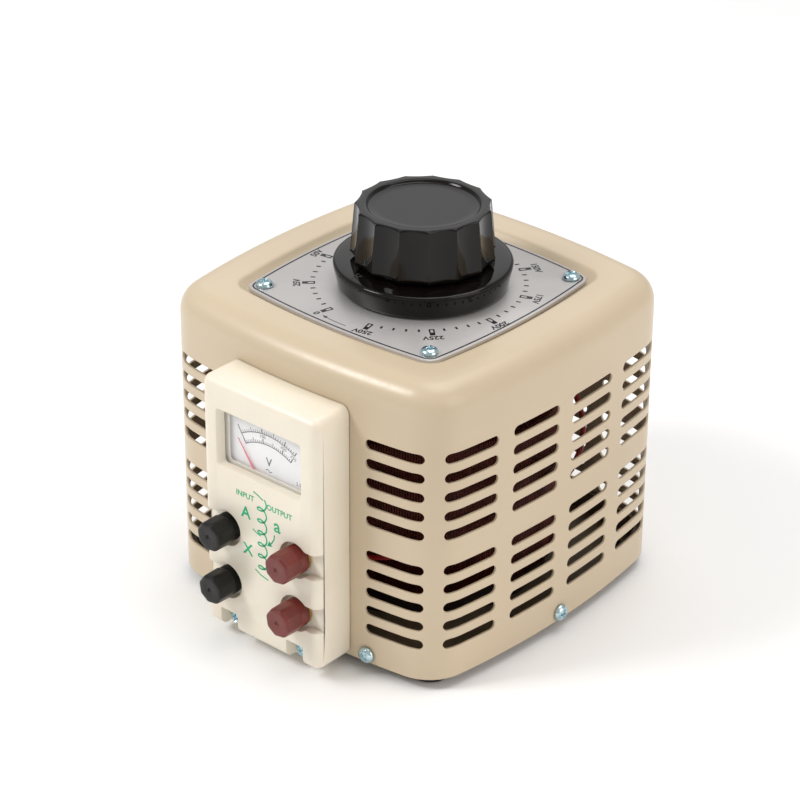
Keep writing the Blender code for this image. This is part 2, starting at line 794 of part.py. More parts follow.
def brush_holder():
    """Brass box with a lip on the arm; the spring bears on its closed top."""
    half_x, half_y = (size / 2 for size in holder_size)
    bottom = coil_top + 2.0 * MM
    lip = arm_top + seat_gap
    top = lip + 3.0 * MM

    def frame(grow, height):
        return [(brush_circle + x * (half_x + grow), y * (half_y + grow), height)
                for x, y in ((-1, -1), (1, -1), (1, 1), (-1, 1))]

    inner = -holder_wall
    rings = [frame(inner, top - holder_wall), frame(inner, bottom), frame(0, bottom), frame(0, lip),
             frame(0.9 * MM, lip), frame(0.9 * MM, lip + 1 * MM), frame(0, lip + 1 * MM), frame(0, top)]
    box = finish("brush_holder", loft(rings), brass, turning, flat=True)
    box.rotation_euler = (0, 0, math.radians(brush_angle))
    gap = holder_wall + 0.25 * MM
    brush_top = coil_top + seat_gap + brush_length
    brush = block((brush_circle - half_x + gap, -half_y + gap, coil_top + seat_gap),
                  (brush_circle + half_x - gap, half_y - gap, brush_top))
    brush = finish("carbon_brush", brush, carbon, brush_slide, flat=True)
    brush.rotation_euler = (0, 0, math.radians(brush_angle))
    low = brush_top + spring_wire + 0.1 * MM
    high = top - holder_wall - spring_wire - 0.1 * MM
    points = []
    for i in range(spring_turns * 8 + 1):
        angle = math.radians(45 * i)
        points.append((brush_circle + spring_radius * math.cos(angle),
                       spring_radius * math.sin(angle), low + (high - low) * i / (spring_turns * 8)))
    curve = bpy.data.curves.new("brush_spring", "CURVE")
    curve.dimensions = "3D"
    curve.bevel_depth = spring_wire
    curve.bevel_resolution = 1
    curve.use_fill_caps = True
    spline = curve.splines.new("POLY")
    spline.points.add(len(points) - 1)
    for slot, point in zip(spline.points, points):
        slot.co = (*point, 1.0)
    curve.materials.append(bright_steel)
    spring = bpy.data.objects.new("brush_spring", curve)
    bpy.context.scene.collection.objects.link(spring)
    spring.parent = turning
    spring.rotation_euler = (0, 0, math.radians(brush_angle))


def knob():
    points = flute_count * 3

    def ring(radius, height, depth=0.0):
        made = []
        for i in range(points):
            angle = 2 * math.pi * i / points
            reach = radius - depth * (0.5 - 0.5 * math.cos(flute_count * angle))
            made.append((reach * math.cos(angle), reach * math.sin(angle), height))
        return made

    cap_floor = knob_top - cap_recess_depth
    skirt_top = knob_bottom + skirt_height
    bore = shaft_radius + seat_gap
    inside_top = cap_floor - 2.5 * MM
    rings = [[(0, 0, cap_floor)], ring(cap_recess_radius - 0.6 * MM, cap_floor),
             ring(cap_recess_radius, knob_top - 0.2 * MM), ring(cap_recess_radius + 0.5 * MM, knob_top),
             ring(grip_upper_radius - 0.4 * MM, knob_top, 0.7 * flute_depth),
             ring(grip_upper_radius, knob_top - 0.5 * MM, flute_depth),
             ring(grip_lower_radius, skirt_top + 2.2 * MM, flute_depth),
             ring(grip_foot_radius, skirt_top + 0.4 * MM, 0.5 * flute_depth),
             ring(skirt_top_radius - 0.3 * MM, skirt_top), ring(skirt_top_radius, skirt_top - 0.4 * MM),
             ring(skirt_rim_radius, knob_bottom), ring(skirt_rim_radius - knob_wall, knob_bottom),
             ring(skirt_top_radius - 2 * knob_wall, skirt_top - 2 * MM),
             ring(grip_foot_radius - knob_wall, skirt_top - 2 * MM),
             ring(grip_foot_radius - 2 * knob_wall, inside_top), ring(knob_hub_radius, inside_top),
             ring(knob_hub_radius, knob_bottom + 1 * MM), ring(bore, knob_bottom + 1 * MM),
             ring(bore, shaft_top + seat_gap), [(0, 0, shaft_top + seat_gap)]]
    body = finish("knob", loft(rings), knob_black, turning)
    body.rotation_euler = (0, 0, math.radians(zero_angle))
    screw_height = knob_bottom + 5 * MM
    reach = knob_hub_radius + 0.5 * MM
    cut(body, [hole(((bore + reach) / 2, 0, screw_height), (1, 0, 0),
                    knob_screw_radius + seat_gap, (reach - bore) / 2 + 1 * MM)], "knob_screw_hole")
    start = shaft_radius + seat_gap
    grub = turned([(0, start), (knob_screw_radius, start), (knob_screw_radius, reach), (0, reach)], 12)
    grub = finish("knob_screw", moved(grub, turn=(90, "Y")), zinc, turning)
    grub.location = (0, 0, screw_height)
    grub.rotation_euler = (0, 0, math.radians(zero_angle))


# ================================================================ front panel
def panel_ring(grow, y):
    """Rounded rectangle of the panel in the plane y."""
    half = panel_width / 2 + grow
    radius = max(panel_corner + grow, 0.6 * MM)
    x_mid = panel_offset_x
    points = []
    for corner_x, corner_z, start in ((1, 1, 0), (-1, 1, 90), (-1, -1, 180), (1, -1, 270)):
        edge = panel_top + grow if corner_z > 0 else panel_bottom - grow
        cx = x_mid + corner_x * (half - radius)
        cz = edge - corner_z * radius
        for i in range(4):
            angle = math.radians(start + 30 * i)
            points.append((cx + radius * math.cos(angle), y, cz + radius * math.sin(angle)))
    return points


def slab(x0, x1, y0, y1, z0, z1):
    return block((x0, y0, z0), (x1, y1, z1))


def front_panel():
    rings = [panel_ring(0.0, case_front + 4 * MM)]
    for step in range(5):
        angle = math.radians(22.5 * step)
        tuck = panel_front_round * (1 - math.cos(angle))
        rings.append(panel_ring(-tuck, panel_front + panel_front_round * (1 - math.sin(angle))))
    panel = finish("front_panel", loft(rings), ivory, assembly)
    left = panel_offset_x - panel_width / 2
    right = panel_offset_x + panel_width / 2
    behind = case_front + 10 * MM
    outline = [(x, y) for x, y in case_outline(-seat_gap)]
    cut(panel, [prism(outline, -10 * MM, panel_top + 10 * MM)], "panel_back_cut")
    block_back = pocket_floor + panel_wall
    lug_back = panel_screw_seat + lug_thickness
    inner_left = left + panel_wall
    inner_right = right - panel_wall
    cut(panel, [slab(inner_left, inner_right, block_back, behind,
                     panel_bottom + notch_height + panel_wall, panel_top - panel_wall)],
        "panel_hollow")
    cut(panel, [slab(inner_left, inner_right, panel_front + panel_wall, block_back + 1 * MM,
                     block_top, panel_top - panel_wall)], "meter_room")
    front_openings = [window_cutter()]
    for side in (-1, 1):
        for height in post_heights:
            x = panel_offset_x + side * post_place
            front_openings.append(pocket_cutter(x, height, side))
    cut(panel, front_openings, "panel_front_openings")
    rear_openings = []
    for name, x in panel_screw_sites():
        notch = slab(x - notch_width / 2, x + notch_width / 2, panel_front - 5 * MM, panel_screw_seat,
                     panel_bottom - 5 * MM, panel_screw_z + notch_height / 2)
        rear_openings.append(notch)
        rear_openings.append(slab(x - notch_width / 2, x + notch_width / 2, lug_back, behind,
                                  panel_screw_z - screw_shank_radius - 1 * MM,
                                  panel_screw_z + notch_height / 2))
    cut(panel, rear_openings, "panel_notches")
    holes = []
    for side in (-1, 1):
        for height in post_heights:
            holes.append(hole((panel_offset_x + side * post_place, pocket_floor, height), (0, -1, 0),
                              stud_radius + hole_gap, 5 * MM))
    for name, x in panel_screw_sites():
        holes.append(hole((x, panel_screw_seat, panel_screw_z), (0, -1, 0),
                          screw_shank_radius + hole_gap, 4.5 * MM))
    cut(panel, holes, "panel_holes")
    for name, x in panel_screw_sites():
        reach = case_front + sheet + base_sheet + 2 * MM - panel_screw_seat
        screw(name, (x, panel_screw_seat - seat_gap, panel_screw_z), (0, -1, 0), reach)


def window_cutter():
    """The meter window's opening, narrowing inwards."""
    rings = []
    for y, grow in ((panel_front - 1 * MM, window_slope * 1.3), (panel_front + panel_wall + 1 * MM,
                                                                -window_slope)):
        half_x = window_width / 2 + grow - window_slope
        half_z = window_height / 2 + grow - window_slope
        rings.append([(panel_offset_x + x * half_x, y, window_middle + z * half_z)
                      for x, z in ((-1, -1), (1, -1), (1, 1), (-1, 1))])
    return loft(rings)


def pocket_cutter(x, height, side):
    """Round pocket behind a post's cap with a wire channel out to the panel's side."""
    reach = panel_width / 2
    bend = math.asin(pocket_half_height / pocket_radius)
    points = []
    for i in range(17):
        angle = bend + (2 * math.pi - 2 * bend) * i / 16
        points.append((x + side * pocket_radius * math.cos(angle),
                       height + pocket_radius * math.sin(angle)))
    points.append((x + side * reach, height - pocket_half_height))
    points.append((x + side * reach, height + pocket_half_height))
    return loft([[(px, y, pz) for px, pz in points] for y in (panel_front - 5 * MM, pocket_floor)])


def binding_post(name, x, height, cap_material):
    """Stud through the panel, nut behind it, and a cap with a brass insert."""
    def along(profile, steps, part_name, finish_material, parent, place):
        part = finish(part_name, moved(turned(profile, steps), turn=(90, "X")), finish_material, parent)
        part.location = place
        return part

    face = -(pocket_floor - seat_gap)
    cap_end = -cap_front
    stud_end = cap_end - cap_top - 1.0 * MM
    stud_start = -(case_front - 2.2 * MM)
    along([(0, stud_start), (stud_radius, stud_start), (stud_radius, face),
           (stud_flange_radius, face), (stud_flange_radius, face + stud_flange_thickness),
           (stud_radius, face + stud_flange_thickness), (stud_radius, stud_end), (0, stud_end)],
          12, "post_stud_" + name, brass, assembly, (x, 0, height))
    nut_front = -(pocket_floor + panel_wall + seat_gap)
    nut_back = nut_front - post_nut_thickness
    nut_bore = stud_radius + seat_gap
    bore_rings = [[(a, b, z) for a, b in circle(nut_bore, 12)] for z in (nut_back, nut_front)]
    nut_rings = [bore_rings[0], hexagon(post_nut_radius, nut_back),
                 hexagon(post_nut_radius, nut_front), bore_rings[1]]
    nut = finish("post_nut_" + name, moved(loft(nut_rings, closed=True), turn=(90, "X")),
                 brass, assembly, flat=True)
    nut.location = (x, 0, height)
    back = -cap_back
    travel = empty("post_travel_" + name, (x, 0, height), assembly)
    insert_bore = stud_radius + 0.25 * MM
    insert_profile = [(insert_bore, back + 0.6 * MM), (insert_radius, back + 0.6 * MM),
                      (insert_radius, cap_end - cap_top - seat_gap),
                      (insert_bore, cap_end - cap_top - seat_gap)]
    finish("post_insert_" + name, moved(turned(insert_profile, 12, closed=True),
                                        turn=(90, "X")), brass, travel)
    bore = insert_radius + 0.25 * MM
    collar_end = back + cap_collar_length
    rings = [ring_points(bore, cap_end - cap_top), ring_points(bore, back),
             ring_points(cap_collar_radius, back), ring_points(cap_collar_radius, collar_end),
             octagon_points(cap_radius, collar_end + 0.5 * MM),
             octagon_points(cap_radius, cap_end - 0.8 * MM),
             octagon_points(cap_radius - 0.8 * MM, cap_end)]
    finish("post_cap_" + name, moved(loft(rings), turn=(90, "X")), cap_material, travel)


def hexagon(radius, z):
    """Twelve points round a hexagon: its corners and the middles of its sides."""
    points = []
    for i in range(12):
        angle = math.radians(30 * i)
        reach = radius if i % 2 == 0 else radius * math.cos(math.radians(30))
        points.append((reach * math.cos(angle), reach * math.sin(angle), z))
    return points


def ring_points(radius, z):
    return [(a, b, z) for a, b in circle(radius, 16)]


def octagon_points(radius, z):
    """Sixteen points round an octagon: its corners and the middles of its sides."""
    points = []
    for i in range(16):
        angle = math.radians(22.5 * i)
        reach = radius if i % 2 == 0 else radius * math.cos(math.radians(22.5))
        points.append((reach * math.cos(angle), reach * math.sin(angle), z))
    return points


def binding_posts():
    for row, height in zip(("upper", "lower"), post_heights):
        binding_post("input_" + row, panel_offset_x - post_place, height, cap_black)
        binding_post("output_" + row, panel_offset_x + post_place, height, cap_red)


# ================================================================ meter
def meter():
    left = panel_offset_x - meter_width / 2
    right = panel_offset_x + meter_width / 2
    half_x = window_width / 2 + pane_overlap
    half_z = window_height / 2 + pane_overlap
    pane = slab(panel_offset_x - half_x, panel_offset_x + half_x, pane_front, pane_back,
                window_middle - half_z, window_middle + half_z)
    finish("meter_window", pane, clear, assembly, flat=True)
    scale_bottom = block_top + 0.5 * MM
    scale = finish("meter_scale", slab(left, right, scale_front, scale_back,
                                       scale_bottom, meter_top), paper_white, assembly, flat=True)
    pivot = (panel_offset_x, 0, pivot_height)
    cut(scale, [hole((pivot[0], scale_front, pivot_height), (0, -1, 0), 1.6 * MM, 3 * MM)],
        "scale_hole")
    meter_back = meter_front + meter_depth
    case = finish("meter_case", slab(left, right, meter_front, meter_back,
                                     scale_bottom, meter_top), meter_black, assembly, flat=True)
    cut(case, [slab(left + meter_wall, right - meter_wall, meter_front - 5 * MM,
                    meter_back - meter_wall, scale_bottom + meter_wall, meter_top - meter_wall)],
        "meter_hollow")
    magnet_front = meter_front + 1.0 * MM
    magnet_back = meter_back - meter_wall - seat_gap
    pin_front = needle_front - 0.3 * MM
    room = pivot_height - (scale_bottom + meter_wall) - seat_gap
    profile = [(0, -magnet_back), (min(magnet_radius, room), -magnet_back),
               (min(magnet_radius, room), -magnet_front), (pivot_radius, -magnet_front),
               (pivot_radius, -pin_front), (0, -pin_front)]
    movement = finish("meter_movement", moved(turned(profile, 16), turn=(90, "X")),
                      bright_steel, assembly)
    movement.location = pivot
    needle()


def needle():
    """Thin pointer with a hub and a balancing tail, drawn pointing up, then turned."""
    def ring(radius, y, shaped):
        points = []
        for i in range(16):
            angle = math.radians(22.5 * i)
            reach_x = radius * math.cos(angle)
            reach_z = radius * math.sin(angle)
            if shaped and i == 4:
                reach_z = needle_length
            if shaped and i == 12:
                reach_z = -needle_tail
            points.append((reach_x, y, reach_z))
        return points

    bore = pivot_radius + 0.25 * MM
    back = needle_front + needle_thickness
    shape = loft([ring(bore, needle_front, False), ring(needle_hub_radius * 0.75, needle_front, True),
                  ring(needle_hub_radius * 0.75, back, True), ring(bore, back, False)], closed=True)
    pointer = finish("meter_needle", shape, needle_red, needle_pivot, flat=True)
    pointer.rotation_euler = (0, math.radians(90 - needle_zero_angle), 0)


# ================================================================ leads
def round_coil(angle, radius, height):
    """A point given by its angle and radius about the shaft."""
    turn = math.radians(angle)
    return (coil_offset_x + radius * math.cos(turn), coil_offset_y + radius * math.sin(turn), height)


def leads():
    """Lead from an input post to the winding, and from the collector to an output post."""
    wire_y = case_front - 4.2 * MM
    post_z = post_heights[0]
    hole_z = lead_hole_height
    left_start = panel_offset_x - post_place + stud_radius + seat_gap
    right_end = panel_offset_x + post_place - stud_radius - seat_gap
    winding_face = coil_offset_y - coil_outer + 0.3 * MM
    tube("input_lead", [(left_start, wire_y, post_z), (left_start + 2.5 * MM, wire_y, post_z),
                        (left_start + 5.0 * MM, wire_y, post_z - 3 * MM),
                        (left_start + 8.0 * MM, wire_y + 1 * MM, hole_z + 2.7 * MM),
                        (panel_offset_x - 2.4 * MM, case_front, hole_z),
                        (panel_offset_x - 2.4 * MM, case_front + 4.2 * MM, hole_z),
                        (panel_offset_x - 4.0 * MM, case_front + 8.2 * MM, hole_z + 1.5 * MM),
                        (panel_offset_x - 4.8 * MM, case_front + 12 * MM, hole_z + 4.0 * MM),
                        (panel_offset_x - 4.8 * MM, winding_face - 0.3 * MM, hole_z + 5.0 * MM)],
         lead_radius, lead_black)
    over_clamp = clamp_top + 1.7 * MM
    side = coil_outer + 5.3 * MM
    gap = brush_angle + (360 - dial_travel) / 2
    route = [round_coil(collector_angle, collector_reach + seat_gap, over_clamp),
             round_coil(collector_angle, 28.6 * MM, over_clamp),
             round_coil(collector_angle - 6, 30.8 * MM, over_clamp)]
    route += [round_coil(angle, 31.2 * MM, over_clamp) for angle in (172, 155, 135, 117)]
    route += [round_coil(gap + 13, 32.2 * MM, over_clamp - 0.2 * MM),
              round_coil(gap + 5, 34.0 * MM, over_clamp - 0.1 * MM),
              round_coil(gap, 37.5 * MM, coil_top + 2.6 * MM),
              round_coil(gap, 42.0 * MM, coil_top + 1.8 * MM),
              round_coil(gap, 47.0 * MM, coil_top + 1.6 * MM),
              round_coil(gap, 51.5 * MM, coil_top + 0.6 * MM),
              round_coil(gap - 1, side - 1 * MM, coil_top - 3 * MM),
              round_coil(gap - 5, side, coil_top - 8 * MM)]
    drop = (coil_top - 12 * MM - hole_z) / 9
    route += [round_coil(gap - 15 - 16 * i, side, coil_top - 12 * MM - drop * i) for i in range(10)]
    route += [(panel_offset_x + 4.0 * MM, case_front + 5 * MM, hole_z),
              (panel_offset_x + 2.4 * MM, case_front, hole_z),
              (panel_offset_x + 4.0 * MM, wire_y + 0.8 * MM, hole_z + 2 * MM),
              (right_end - 5 * MM, wire_y, post_z - 3.5 * MM),
              (right_end - 2.5 * MM, wire_y, post_z), (right_end, wire_y, post_z)]
    tube("output_lead", route, lead_radius, lead_red)


# ================================================================ build
clear_scene()
enamel = material("beige_enamel", (0.62, 0.53, 0.40), 0.42)
dark_steel = material("base_steel", (0.30, 0.26, 0.21), 0.45, 0.3)
plate_metal = material("dial_aluminium", (0.55, 0.55, 0.55), 0.35, 0.8)
zinc = material("zinc_plate", (0.62, 0.66, 0.68), 0.28, 1.0)
bright_steel = material("bright_steel", (0.55, 0.55, 0.56), 0.3, 1.0)
core_steel = material("core_steel", (0.20, 0.20, 0.22), 0.5, 0.9)
copper = material("copper_wire", (0.45, 0.16, 0.08), 0.35, 0.9)
brass = material("brass", (0.65, 0.48, 0.20), 0.3, 1.0)
phenolic = material("phenolic", (0.05, 0.03, 0.02), 0.5)
cast_alloy = material("cast_alloy", (0.50, 0.50, 0.52), 0.45, 0.9)
carbon = material("carbon", (0.03, 0.03, 0.03), 0.6)
knob_black = material("knob_black", (0.012, 0.011, 0.010), 0.3)
ivory = material("ivory_plastic", (0.84, 0.78, 0.66), 0.4)
cap_black = material("cap_black", (0.015, 0.015, 0.016), 0.35)
cap_red = material("cap_red", (0.17, 0.025, 0.025), 0.35)
rubber = material("rubber", (0.02, 0.02, 0.02), 0.8)
clear = material("clear_acrylic", (0.9, 0.9, 0.9), 0.05, 0.0, 0.25)
paper_white = material("scale_white", (0.85, 0.84, 0.82), 0.5)
meter_black = material("meter_black", (0.02, 0.02, 0.02), 0.5)
needle_red = material("needle_red", (0.6, 0.06, 0.06), 0.5)
lead_black = material("lead_black", (0.02, 0.02, 0.02), 0.5)
lead_red = material("lead_red", (0.35, 0.03, 0.03), 0.5)

assembly = empty("assembly", (0, assembly_y, 0))
turning = empty("control_axis", (coil_offset_x, coil_offset_y, 0), assembly)
brush_slide = empty("brush_axis", (0, 0, 0), turning)
needle_pivot = empty("needle_axis", (panel_offset_x, 0, pivot_height), assembly)

cover()
base_plate()
feet()
dial_plate()
edge_screws()
coil()
coil_supports()
collector()
control()
front_panel()
binding_posts()
meter()
leads()
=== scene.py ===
# %% [markdown]
# # A bench variable autotransformer
# A round coil stands inside a slotted sheet-steel case. A knob on top turns a carbon brush
# over the coil, and a moulded panel on the front carries a voltmeter and four binding posts.
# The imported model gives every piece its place, so each step below reads a box from it and
# draws the finer surface there: pressed steel, moulded plastic, plated screws and print.

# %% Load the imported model
import math

import bmesh
import bpy
from mathutils import Matrix, Vector


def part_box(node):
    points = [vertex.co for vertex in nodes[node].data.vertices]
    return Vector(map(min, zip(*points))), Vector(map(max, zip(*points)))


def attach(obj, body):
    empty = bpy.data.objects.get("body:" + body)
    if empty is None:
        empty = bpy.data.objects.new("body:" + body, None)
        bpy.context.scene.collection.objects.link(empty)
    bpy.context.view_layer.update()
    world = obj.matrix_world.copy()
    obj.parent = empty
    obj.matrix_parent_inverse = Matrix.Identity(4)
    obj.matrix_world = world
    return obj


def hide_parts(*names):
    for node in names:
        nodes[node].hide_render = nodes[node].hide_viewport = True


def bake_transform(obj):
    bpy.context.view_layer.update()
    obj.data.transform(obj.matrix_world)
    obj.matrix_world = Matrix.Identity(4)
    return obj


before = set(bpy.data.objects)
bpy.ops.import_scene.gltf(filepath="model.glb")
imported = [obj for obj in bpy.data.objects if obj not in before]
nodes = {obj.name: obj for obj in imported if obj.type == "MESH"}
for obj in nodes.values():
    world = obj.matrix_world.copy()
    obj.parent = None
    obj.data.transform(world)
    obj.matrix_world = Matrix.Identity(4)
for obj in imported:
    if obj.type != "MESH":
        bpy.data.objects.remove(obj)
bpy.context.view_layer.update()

# %% [markdown]
# ## Places in millimetres
# The model is in metres, and its origin lies under the middle of the whole box, panel
# included. The case is easier to think about from its own middle line and in millimetres,
# so one function reads a node's box that way, and another turns points back.

# %% Read a node's box in millimetres from the middle of the case
MM = 0.001
case_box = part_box("cover")
middle = Vector(((case_box[0].x + case_box[1].x) / 2, (case_box[0].y + case_box[1].y) / 2, 0))


def span(node):
    """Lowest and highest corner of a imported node, in millimetres."""
    low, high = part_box(node)
    return (low - middle) / MM, (high - middle) / MM


case_low, case_high = span("cover")
print("case from", [round(v, 2) for v in case_low], "to", [round(v, 2) for v in case_high])

# %% [markdown]
# ## One way to make a mesh
# Nearly every piece here is a stack of rings with the same number of points. Joining each
# ring to the next gives clean rows of four-sided faces. Points that fall together are
# welded afterwards, so a ring shrunk to one point closes an end.


# %% Rings to faces, and faces to a piece
def loft(rings, around=True, along=False):
    """Points and faces between rings of equal count; around and along close the two ways."""
    count = len(rings[0])
    points = [tuple(point) for ring in rings for point in ring]
    faces = []
    for level in range(len(rings) if along else len(rings) - 1):
        low, high = level * count, (level + 1) % len(rings) * count
        for i in range(count if around else count - 1):
            j = (i + 1) % count
            faces.append((low + i, low + j, high + j, high + i))
    return points, faces


def joined(*parts):
    """Several lots of points and faces as one."""
    points, faces = [], []
    for part_points, part_faces in parts:
        start = len(points)
        points += list(part_points)
        faces += [tuple(start + i for i in face) for face in part_faces]
    return points, faces


def mesh_of(name, shape, sharp):
    """A welded mesh in metres with smooth faces and crisp edges above the angle sharp."""
    mesh = bpy.data.meshes.new(name)
    mesh.from_pydata([Vector(point) * MM + middle for point in shape[0]], [], shape[1])
    work = bmesh.new()
    work.from_mesh(mesh)
    bmesh.ops.remove_doubles(work, verts=work.verts, dist=0.002 * MM)
    bmesh.ops.recalc_face_normals(work, faces=work.faces)
    work.to_mesh(mesh)
    work.free()
    mesh.shade_smooth()
    mesh.set_sharp_from_angle(angle=math.radians(sharp))
    return mesh


def piece(name, shape, finish, body, stands_for=(), sharp=40):
    """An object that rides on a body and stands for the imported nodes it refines."""
    mesh = shape if isinstance(shape, bpy.types.Mesh) else mesh_of(name, shape, sharp)
    made = bpy.data.objects.new(name, mesh)
    bpy.context.scene.collection.objects.link(made)
    if not mesh.materials:
        mesh.materials.append(finish)
    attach(made, body)
    if stands_for:
        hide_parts(*stands_for)
    print(name, len(mesh.polygons), "faces")
    return made


def lathe(profile, steps=64):
    """A turned shape round Z; profile is (radius, height) pairs."""
    turns = [2 * math.pi * i / steps for i in range(steps)]
    return loft([[(r * math.cos(t), r * math.sin(t), z) for t in turns] for r, z in profile])


def placed(shape, turn, place):
    """A shape turned by a matrix and set down at a place."""
    return [turn @ Vector(point) + Vector(place) for point in shape[0]], shape[1]


# %% [markdown]
# ## Colours and finishes
# Colours are written as the hex values a paint chart gives, and one function turns them
# to the linear light that the renderer adds up. A second adds a shader node and its links.
# No surface is one flat colour: every finish drifts a little in shade and gloss, at a size
# worked out from how the surface was made, and has a fine relief of its own.


# %% Hex to linear, one node, and a finish with a drift and a relief
def linear(colour):
    shares = [int(colour[i:i + 2], 16) / 255 for i in (1, 3, 5)]
    return [v / 12.92 if v <= 0.04045 else ((v + 0.055) / 1.055) ** 2.4 for v in shares] + [1.0]


def add(finish, kind, inputs, **settings):
    """Adds a node to a finish, sets it up, and fills or links its inputs."""
    made = finish.node_tree.nodes.new(kind)
    for name, value in settings.items():
        setattr(made, name, value)
    for name, value in inputs.items():
        if isinstance(value, bpy.types.NodeSocket):
            finish.node_tree.links.new(value, made.inputs[name])
        else:
            made.inputs[name].default_value = value
    return made


def surface(name, dark, light, gloss, drift, grain, relief, stretch=(1, 1, 1), **constants):
    """A finish between two colours and two roughnesses.

    drift and grain are the sizes in millimetres of the colour's clouds and of the relief,
    relief is its height in millimetres, and stretch squeezes the grain along X, Y and Z.
    """
    finish = bpy.data.materials.new(name)
    finish.use_nodes = True
    shader = finish.node_tree.nodes["Principled BSDF"]
    for socket, value in constants.items():
        shader.inputs[socket.replace("_", " ")].default_value = value
    place = add(finish, "ShaderNodeTexCoord", {}).outputs["Object"]
    clouds = add(finish, "ShaderNodeTexNoise",
                 {"Vector": place, "Scale": 1 / (drift * MM), "Detail": 3.0})
    blend = add(finish, "ShaderNodeMapRange",
                {"Value": clouds.outputs["Fac"], "From Min": 0.3, "From Max": 0.7})
    colour = add(finish, "ShaderNodeMix",
                 {0: blend.outputs["Result"], 6: linear(dark), 7: linear(light)},
                 data_type="RGBA")
    pulled = add(finish, "ShaderNodeMapping", {"Vector": place, "Scale": stretch})
    tooth = add(finish, "ShaderNodeTexNoise",
                {"Vector": pulled.outputs["Vector"], "Scale": 1 / (grain * MM), "Detail": 2.0})
    rough = add(finish, "ShaderNodeMapRange",
                {"Value": tooth.outputs["Fac"], "From Min": 0.3, "From Max": 0.7,
                 "To Min": gloss[0], "To Max": gloss[1]})
    bump = add(finish, "ShaderNodeBump",
               {"Height": tooth.outputs["Fac"], "Distance": relief * MM, "Strength": 1.0})
    links = finish.node_tree.links
    links.new(colour.outputs[2], shader.inputs["Base Color"])
    links.new(rough.outputs["Result"], shader.inputs["Roughness"])
    links.new(bump.outputs["Normal"], shader.inputs["Normal"])
    return finish


# %% [markdown]
# ## The camera and the light
# The camera looks down on the near corner from a metre away with a long lens, so upright
# edges stay nearly parallel. The light is a white studio: a big soft panel overhead and to
# the left, weaker ones from behind and from the right, and a pale world that fills the
# shadows.

# %% Camera
camera_data = bpy.data.cameras.new("camera")
camera_data.lens = 133.27
camera_data.sensor_width = 36.0
camera_data.clip_start = 0.05
camera = bpy.data.objects.new("camera", camera_data)
bpy.context.scene.collection.objects.link(camera)
bpy.context.scene.camera = camera
eye = Vector((579.37, -670.31, 548.98)) * MM + middle
aim = Vector((-4.88, -3.38, 64.68)) * MM + middle
back = (eye - aim).normalized()
right = Vector((0, 0, 1)).cross(back).normalized()
upward = back.cross(right)
roll = math.radians(0.304)
axis_x = right * math.cos(roll) + upward * math.sin(roll)
axis_y = back.cross(axis_x)
camera.matrix_world = Matrix((
    (axis_x.x, axis_y.x, back.x, eye.x),
    (axis_x.y, axis_y.y, back.y, eye.y),
    (axis_x.z, axis_y.z, back.z, eye.z),
    (0, 0, 0, 1)))
print("camera", round((eye - aim).length, 3), "m from its aim")

# %% Lights and the pale world
bpy.context.scene.view_settings.view_transform = "Standard"
world = bpy.data.worlds.new("studio")
bpy.context.scene.world = world
world.use_nodes = True
world.node_tree.nodes["Background"].inputs["Color"].default_value = (1.0, 1.0, 1.0, 1.0)
world.node_tree.nodes["Background"].inputs["Strength"].default_value = 0.50


def panel_light(name, place, target, size, watts, tint="#FFFFFF"):
    """A soft rectangular light aimed at a point; metres and watts."""
    lamp = bpy.data.lights.new(name, "AREA")
    lamp.shape = "RECTANGLE"
    lamp.size, lamp.size_y = size
    lamp.energy = watts
    lamp.color = linear(tint)[:3]
    made = bpy.data.objects.new(name, lamp)
    bpy.context.scene.collection.objects.link(made)
    made.location = place
    made.rotation_euler = (Vector(target) - Vector(place)).to_track_quat("-Z", "Y").to_euler()
    return made


panel_light("key", (-0.55, -0.75, 0.95), (0, 0, 0.06), (0.38, 0.38), 7.6)
panel_light("top", (0.1, 0.25, 1.1), (0, 0, 0.06), (0.8, 0.8), 5.0)
panel_light("rear", (-0.75, 0.85, 0.70), (0, 0, 0.10), (0.8, 0.5), 0.7)
panel_light("side", (1.0, 0.1, 0.45), (0, 0, 0.06), (0.7, 0.7), 2.8, "#FFF6EE")

# %% Floor
floor_mesh = bpy.data.meshes.new("floor")
reach, below = 4.0, -0.0002
floor_mesh.from_pydata([(-reach, -reach, below), (reach, -reach, below),
                        (reach, reach, below), (-reach, reach, below)], [], [(0, 1, 2, 3)])
paper = surface("white_paper_sweep", "#FBFBFB", "#FFFFFF", (0.85, 0.95), 400, 3, 0.002)
floor_mesh.materials.append(paper)
floor = bpy.data.objects.new("floor", floor_mesh)
bpy.context.scene.collection.objects.link(floor)

# %% [markdown]
# ## The outline of the case
# The sheet is bent round a square whose sides bow outwards and whose corners are round.
# Each quarter of the outline is two bowed halves and one corner arc, which meet without a
# kink. One function walks along it, so a slot, a screw or a wall can ask for the point at
# any distance and any offset.

# %% Walk along a bowed square
CASE = ((case_high.x - case_low.x) / 2, 313.0, 15.4)     # half width, bow radius, corner radius
RECESS = (46.2, 290.0, 6.0)
PLATE_HALF = (span("dial_plate")[1].x - span("dial_plate")[0].x) / 2
PLATE = (PLATE_HALF, 282.0, 4.5)


def quarter_of(shape):
    """Half side, corner centre, tilt at the corner and length of a quarter."""
    half, bow, corner = shape
    offset = bow - half
    centre = (-offset + math.sqrt(2 * (bow - corner) ** 2 - offset ** 2)) / 2
    tilt = math.atan2(centre, centre + offset)
    return bow * tilt, centre, tilt, 2 * bow * tilt + corner * (math.pi / 2 - 2 * tilt)


